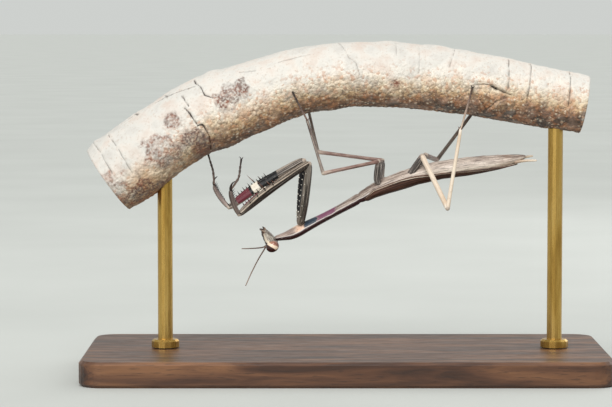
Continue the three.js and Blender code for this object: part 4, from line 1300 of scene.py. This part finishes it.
# Places are mm along the branch and degrees round it: 0 faces the viewer, 90 is on top.
CRACKS = [  # width, depth (a negative one is a ridge) and the line
    (0.17, 0.5, [(20.6, 24), (20.9, 16), (21.4, -9), (22.4, -11), (22.7, -32), (21.6, -70)]),
    (0.13, 0.4, [(21.0, 47), (21.3, 29), (21.4, 24)]),
    (0.13, 0.45, [(23.9, 75), (24.0, 62), (24.7, 46), (24.9, 31), (26.3, 20)]),
    (0.12, 0.5, [(8.5, 82), (12.2, 78), (15.2, 76), (18.7, 66), (21.3, 59), (23.8, 53)]),
    (0.13, 0.5, [(12.0, 88), (12.2, 76), (12.6, 70)]), (0.13, 0.5, [(18.4, 78), (18.9, 64)]),
    (0.09, 0.2, [(32.8, 52), (35.9, 44)]), (0.09, 0.2, [(40.4, 48), (43.5, 47), (46.2, 48)]),
    (0.08, 0.2, [(51.5, 85), (52.0, 67), (53.3, 32), (54.5, 22), (55.2, 0)]),
    (0.07, 0.16, [(62.1, 80), (62.3, 38)]), (0.07, 0.15, [(66.6, 70), (66.8, 8)]),
    (0.08, 0.2, [(73.4, 80), (73.2, 58), (72.6, 26)]),
    (0.1, 0.3, [(84.0, 75), (84.1, 51), (84.6, 7)]),
    (0.1, 0.3, [(88.4, 80), (88.6, 49), (88.7, -12)]),
    (0.1, 0.28, [(96.4, 85), (96.6, 59), (96.9, -1)]),
    (0.12, 0.28, [(79.4, 3), (81.0, 4), (84.0, -5)]), (0.34, 0.5, [(81.3, 2), (82.3, -1)]),
    (0.09, 0.25, [(77.6, -2), (79.6, 3)]), (0.3, -0.35, [(79.8, -30), (81.4, -50), (83.1, -30)]),
    (0.3, -0.25, [(77.8, 8), (81.0, 11), (84.0, 3)]), (0.3, -0.3, [(79.4, -12), (82.0, -17)]),
    (0.1, 0.3, [(83.0, -2), (85.5, -7)]),
    (0.12, 0.3, [(79.6, -25), (81.3, -44), (82.7, -23), (84.4, -15)]),
    (0.1, 0.25, [(5.5, 70), (5.8, 30), (5.2, -20)]), (0.1, 0.25, [(1.8, 88), (2.3, 40), (2.0, 0)]),
    (0.12, 0.3, [(60, 160), (64, 150), (70, 158)]),
    (0.12, 0.3, [(30, 130), (31, 170), (30.5, 200)]),
]
KNOTS = [  # along, round, width, height
    (2.2, 84, 1.4, 0.5), (11, 90, 2.2, 0.2), (27.5, 92, 1.4, 0.3), (60.8, 92, 1.8, 0.5),
    (81.5, -28, 2.6, 0.45), (81.3, -34, 1.0, -0.3), (79, -3, 1.8, 0.25), (35, -60, 2.0, 0.35),
    (49, -85, 2.4, 0.3), (70, 100, 2.0, 0.3), (15, -160, 2.6, 0.45), (52, 170, 2.4, 0.4),
    (83, -150, 2.2, 0.35),
]


def branch_line(u):
    """The middle, radius and upward normal of the branch at shares u of its length."""
    line = smooth_line(BRANCH_ROWS, 1200)
    steps = np.linalg.norm(np.diff(line[:, :2], axis=0), axis=1)
    along = np.concatenate([[0], np.cumsum(steps)])
    wanted = u * along[-1]
    rows = np.column_stack([along, line, np.gradient(line, axis=0)])
    x, z, radius, dx, dz = between(rows, wanted, 1, 2, 3, 4, 5)
    size = np.hypot(dx, dz)
    return wanted, x, z, radius, -dz / size, dx / size


print(len(CRACKS), "cracks and ridges,", len(KNOTS), "knots")

# %% The branch and its bark
BARK_COLUMNS, BARK_ROWS = 470, 196
MEAN_RADIUS = 6.5
SCAB_SIZE, SCAB_HEIGHT = 0.85, 0.22
NARROWEST_CRACK, NARROWEST_SHADE = 0.13, 0.15  # what the grid can still show


def from_line(along, turn, radius, line):
    """The distance on the bark, in mm, from each vertex to a line of (along, degrees) places."""
    best = np.full(len(along), 1e9)
    for (s0, a0), (s1, a1) in zip(line, line[1:]):
        dx, dy = s1 - s0, math.radians(a1 - a0) * MEAN_RADIUS
        px = along - s0
        py = (np.mod(turn - math.radians(a0) + math.pi, 2 * math.pi) - math.pi) * radius
        share = np.clip((px * dx + py * dy) / (dx * dx + dy * dy), 0, 1)
        best = np.minimum(best, np.hypot(px - share * dx, py - share * dy))
    return best


def noise_at(points, size, octaves=1):
    """Blender's own noise at each point, for features of a size in mm."""
    return np.array([noise.fractal(Vector(p) / size, 1.0, 2.0, octaves) for p in points])


def bark_shape(u, v):
    """The surface of the branch. It keeps for the finish how dark each crack is painted, partly its
    dark inside and partly painted shade, with its scabs and place.
    """
    along, x, z, radius, up_x, up_z = branch_line(u)
    turn = (v * 2 - 1) * math.pi
    facing, upward = np.cos(turn), np.sin(turn)

    def moved(skin, out):
        return skin + np.stack([upward * up_x * out, -facing * out, upward * up_z * out], axis=1)
    skin = moved(np.stack([x, np.zeros_like(x), z], axis=1), radius)
    lumps = 0.2 * noise_at(skin, 5.0, 2)
    grain = 0.07 * noise_at(skin, 0.7, 2)
    scabs = np.array([noise.voronoi(Vector(p) / SCAB_SIZE)[0][0] for p in skin])
    rough = 0.15 + 0.85 * np.clip(0.5 - upward + 0.5 * noise_at(skin + 7, 3.0, 2), 0, 1)
    depth, shade = np.zeros(len(u)), np.zeros(len(u))
    for width, deep, line in CRACKS:
        away = from_line(along, turn, radius, line)
        near = away < 2
        away[near] = np.abs(away[near] + 0.12 * noise_at(skin[near] + 90, 1.2, 1))
        depth += deep * np.exp(-(away / max(width, NARROWEST_CRACK)) ** 2)
        line_shade = np.exp(-(away / max(width, NARROWEST_SHADE)) ** 2)
        shade = np.maximum(shade, min(1, deep * 2.2) * line_shade)
        lumps += 0.06 * np.exp(-((away - 0.45) / 0.3) ** 2)
    for middle, degrees, width, high in KNOTS:
        away = from_line(along, turn, radius, [(middle, degrees), (middle + 0.01, degrees)])
        lumps += high * np.exp(-(away / width) ** 2)
    # depth holds how dark each crack is painted: partly its dark inside, partly painted shade in
    # its hollow
    bark_shape.kept = {"depth": shade, "scab": np.clip(scabs, 0, 1) * rough,
                       "place": np.stack([facing, upward, along / along.max()], axis=1)}
    return moved(skin, lumps + grain + SCAB_HEIGHT * rough * (0.42 - scabs) - depth)


branch = sheet("branch_bark", BARK_COLUMNS, BARK_ROWS, bark_shape)
for name, values in bark_shape.kept.items():
    store(branch, name, values)
print(branch.name, "has", len(branch.data.vertices), "vertices")

# %% [markdown]
# ## The finish of the bark
#
# The upper side of the branch is bleached, and painted lighter still, almost white, as painted
# light from above; the flanks are warm tan, and the underside is mottled and painted dark as
# painted shade.
# Reddish-brown lichen lies in broken blotches at the thick end. The cracks and pits are the darkest
# places, partly their dark inside and partly painted shade. The finish is a stack of layers, and
# each has a mask of its own.
#
# Level says how high a place lies: 1 on the crest and -1 underneath, torn by noise and shifted
# towards both ends. Bare is the share of bark that isn't bleached.

# %% The colours of the bark
LICHEN = [  # along, up and size, as shares, and how hollow its middle is
    (-0.012, -0.4, 0.043, 0.7), (0.126, -0.22, 0.032, 0.7), (0.172, 0.24, 0.015, 0.4),
    (0.187, -0.4, 0.02, 0.2), (0.297, 0.28, 0.02, 0.3), (0.275, 0.12, 0.017, 0.1),
    (0.318, 0.39, 0.014, 0.1), (0.2, -0.75, 0.03, 0.1), (0.05, -0.97, 0.04, 0.1),
    (0.62, -0.2, 0.012, 0.0),
]
SIDE_SCALE = 0.073  # the branch's radius, as a share of its length
# Near white on the crest, bleached bark painted lighter still as painted light from above; near
# black underneath, as painted shade.
BARK_BLEACH_AND_PAINTED_LIGHT_ROW = ("0 140C06, 0.09 482E19, 0.16 906640, 0.25 CEAB80, 0.33 E4CBA8, 0.42 EEDEC6, "
            "0.54 E9E1D5, 0.7 DAD5CD, 1 CFCBC4")
# The colour of the cracks: partly their dark inside, partly painted shade
CRACK_AND_SHADE_COLOUR = "2E221B"

BARK, paint, shader = new_material("bark")
here, place = paint.here(), paint.read("place", "Vector")
facing, upward, along = paint.add("SeparateXYZ", {0: place}).node.outputs
fine = paint.group(FLECKS, Vector=here, Size=0.45)
patches = paint.noise(here, 330, 6, Roughness=0.7)
thick_end, thin_end = paint.span(along, 0.25, 0.12), paint.span(along, 0.62, 0.92)
level = paint.plus(upward, paint.times(paint.minus(patches, 0.5), 1.1))
level = paint.plus(level, paint.times(paint.minus(thick_end, thin_end), 0.38))
bare = paint.span(level, 0.15, -0.55)
# The ramp by level: bleached bark plus painted light on the crest, painted shade underneath.
paint.colour = paint.ramp(paint.span(level, -1.1, 1), BARK_BLEACH_AND_PAINTED_LIGHT_ROW)

swirl = paint.noise(here, 1.5 / MM, 3, "Color")
swirl = paint.vectors("MULTIPLY_ADD", swirl, (0.5 * MM, 0.9 * MM, 0.9 * MM), here)
grit = paint.cells(swirl, 1.7 / MM)
chance = paint.add("SeparateXYZ", {0: grit.node.outputs["Color"]})  # of each grain
warm = paint.times(paint.span(paint.noise(here, 480, 4), 0.5, 0.62), 0.6)
dark_grains = paint.span(chance, 0.34, 0.24)
pale_grains = paint.times(paint.span(chance, 0.56, 0.7), paint.span(grit, 0.6, 0.2))
rust_grains = paint.times(paint.span(chance, 0.8, 0.88), paint.span(level, 0.5, 0.05))
gaps = paint.span(paint.read("scab"), 0.45, 0.8)
blush = paint.noise(here, 260, 5)
flank = paint.times(paint.span(upward, 0.0, -0.4), paint.span(along, 0.1, 0.07))
for mask, colour, share in (
    (paint.times(warm, bare), "B9794A", None),
    (paint.times(dark_grains, bare), "5E4634", 0.6),
    (paint.times(pale_grains, bare), "F0E2CA", 0.8),
    (rust_grains, "B4703C", 0.5),
    (paint.times(gaps, bare), "4A382A", 0.5),
    (fine["Dark"], "A3826A", 0.32),
    (paint.span(blush, 0.46, 0.72), "C4A898", 0.5),  # pinkish
    (paint.span(blush, 0.52, 0.3), "AFA9A4", 0.42),  # grey
    (paint.times(flank, paint.span(along, 0.02, 0.05)), "D9AE7E", 0.55),
):
    paint.layer(mask, colour, share)
print(len(LICHEN), "blotches of lichen come next")

# %% The lichen, the cracks and the relief of the bark
stains = paint.noise(here, 420, 5)
blotches, middles = [], []
for place_along, place_up, width, hollow in LICHEN:
    offset = paint.vectors("SUBTRACT", place, (0, place_up, place_along))
    flat = paint.vectors("MULTIPLY", offset, (0, SIDE_SCALE, 1))
    away = paint.vectors("LENGTH", flat, output="Value")
    torn = paint.plus(away, paint.times(paint.minus(stains, 0.5), width * 3))
    blotches.append(paint.span(torn, width * 1.25, width * 0.7))
    middles.append(paint.times(paint.span(torn, width * 0.85, width * 0.3), hollow))
rings, middle = [reduce(paint.larger, masks) for masks in (blotches, middles)]
on_front = paint.times(rings, paint.span(facing, -0.3, 0.2))
blotch = paint.times(on_front, paint.minus(1.0, middle))
broken = paint.plus(0.45, paint.span(fine["Height"], 0.38, 0.56))
paint.layer(paint.times(blotch, broken),
            paint.ramp(patches, "0.38 96604A, 0.49 70544A, 0.6 82766F"), 0.72)
paint.layer(paint.times(middle, paint.span(stains, 0.5, 0.6)), "B98678", 0.5)
# Cracks darkened by the depth attribute: partly their dark inside, partly painted shade
paint.layer(paint.span(paint.read("depth"), 0.12, 0.85), CRACK_AND_SHADE_COLOUR)
relief = paint.plus(paint.times(grit, -1.4), fine["Height"])
paint.finish(paint.span(fine["Height"], -0.9, 0.9),
             paint.times(relief, paint.span(level, 0.7, -0.3)), 0.8, 0.2)
branch.data.materials.append(BARK)
print("bark has", len(BARK.node_tree.nodes), "nodes")

# %% [markdown]
# ## The sawn ends
#
# Both ends show the wood with its rings, a dark pith and a rim of bark. Filling the open ends of
# the sheet makes their faces, and an inset gives each of them a crisp edge.

# %% The sawn ends
RING_WIDTH = 0.09  # from one ring to the next, as a share of the radius
BARK_RIM = 0.89, 0.92  # where the wood ends and the bark starts, as shares of the radius
SAW_INSET, SAW_RISE = 0.5, 0.1

SAWN, paint, shader = new_material("sawn_wood")
here = paint.here()
wood = paint.group(FLECKS, Vector=here, Size=0.5)
ring = paint.maths("MINIMUM", *[
    paint.times(paint.vectors("DISTANCE", here, Vector((x, 0, z)) * MM, output="Value"),
                1 / (radius * MM)) for x, z, radius in (BRANCH_ROWS[0], BRANCH_ROWS[-1])])
wavy = paint.plus(ring, paint.times(paint.noise(here, 0.25 / MM), 0.25))
rings = paint.maths("SINE", paint.times(wavy, 2 * math.pi / RING_WIDTH))
paint.colour = paint.ramp(paint.span(rings, -1, 1), "0 BE9A6C, 0.35 CFB184, 1 DDC59C")
paint.layer(paint.span(ring, 0.5, 0.05), "9A7048", 0.5)
paint.layer(paint.span(ring, *BARK_RIM), "6E5038")
paint.layer(wood["Dark"], "8E6A46", 0.3)
paint.finish(paint.span(wood["Height"], -0.8, 0.9), rings, 0.5, 0.1)
branch.data.materials.append(SAWN)

with editing(branch):
    bpy.ops.mesh.remove_doubles(threshold=1e-6)
    bpy.ops.mesh.fill_holes(sides=0)
for face in branch.data.polygons:
    face.select = len(face.vertices) > 8
    face.material_index = int(face.select)
print("sawn ends:", sum(face.select for face in branch.data.polygons))
bpy.ops.object.mode_set(mode="EDIT")
bpy.ops.mesh.select_mode(type="FACE")
bpy.ops.mesh.inset(thickness=SAW_INSET * MM, depth=SAW_RISE * MM)
bpy.ops.mesh.select_mode(type="VERT")
tidy_faces(branch)
finish_piece(branch, "bark", "branch")

# %% [markdown]
# ## The stand
#
# The base and the rods come from the CAD as they are, and only get their finish: oiled walnut with
# its grain along the board, and brass that is brushed and a little dull.

# %% The stand's finishes
def stand_finish(name, stretch, grain, row, dark, roughness, metallic, bump):
    """A finish on object coordinates, stretched along the piece so that its grain follows it."""
    made, paint, shader = new_material(name)
    at = paint.add("Mapping", {"Vector": paint.here(), "Scale": stretch})
    bands = paint.noise(at, grain, 6, Distortion=0.6)
    pores = paint.noise(at, grain * 7, 3)
    paint.colour = paint.ramp(paint.span(bands, 0.3, 0.7), row)
    paint.layer(paint.span(pores, 0.56, 0.66), dark, 0.5)
    paint.finish(paint.span(pores, 0.3, 0.7, roughness), pores, bump, 0.1)
    paint.plug(shader["Metallic"], metallic)
    return made


WALNUT = stand_finish("walnut", (1, 9, 9), 40, "0 2C1A11, 0.35 4A2E1E, 0.6 5E3D28, 1 7A5336",
                      "2C1A11", (0.32, 0.5), 0, 0.4)
BRASS = stand_finish("brushed_brass", (1, 1, 0.08), 500, "0 9A7638, 0.4 B8934C, 1 D0AD66",
                     "9A7638", (0.22, 0.36), 1, 0.1)
for name, finish in (("stand_base", WALNUT), ("stand_rod_left", BRASS), ("stand_rod_right", BRASS)):
    painted(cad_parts[name], finish)
    print(name, "is finished in", finish.name)
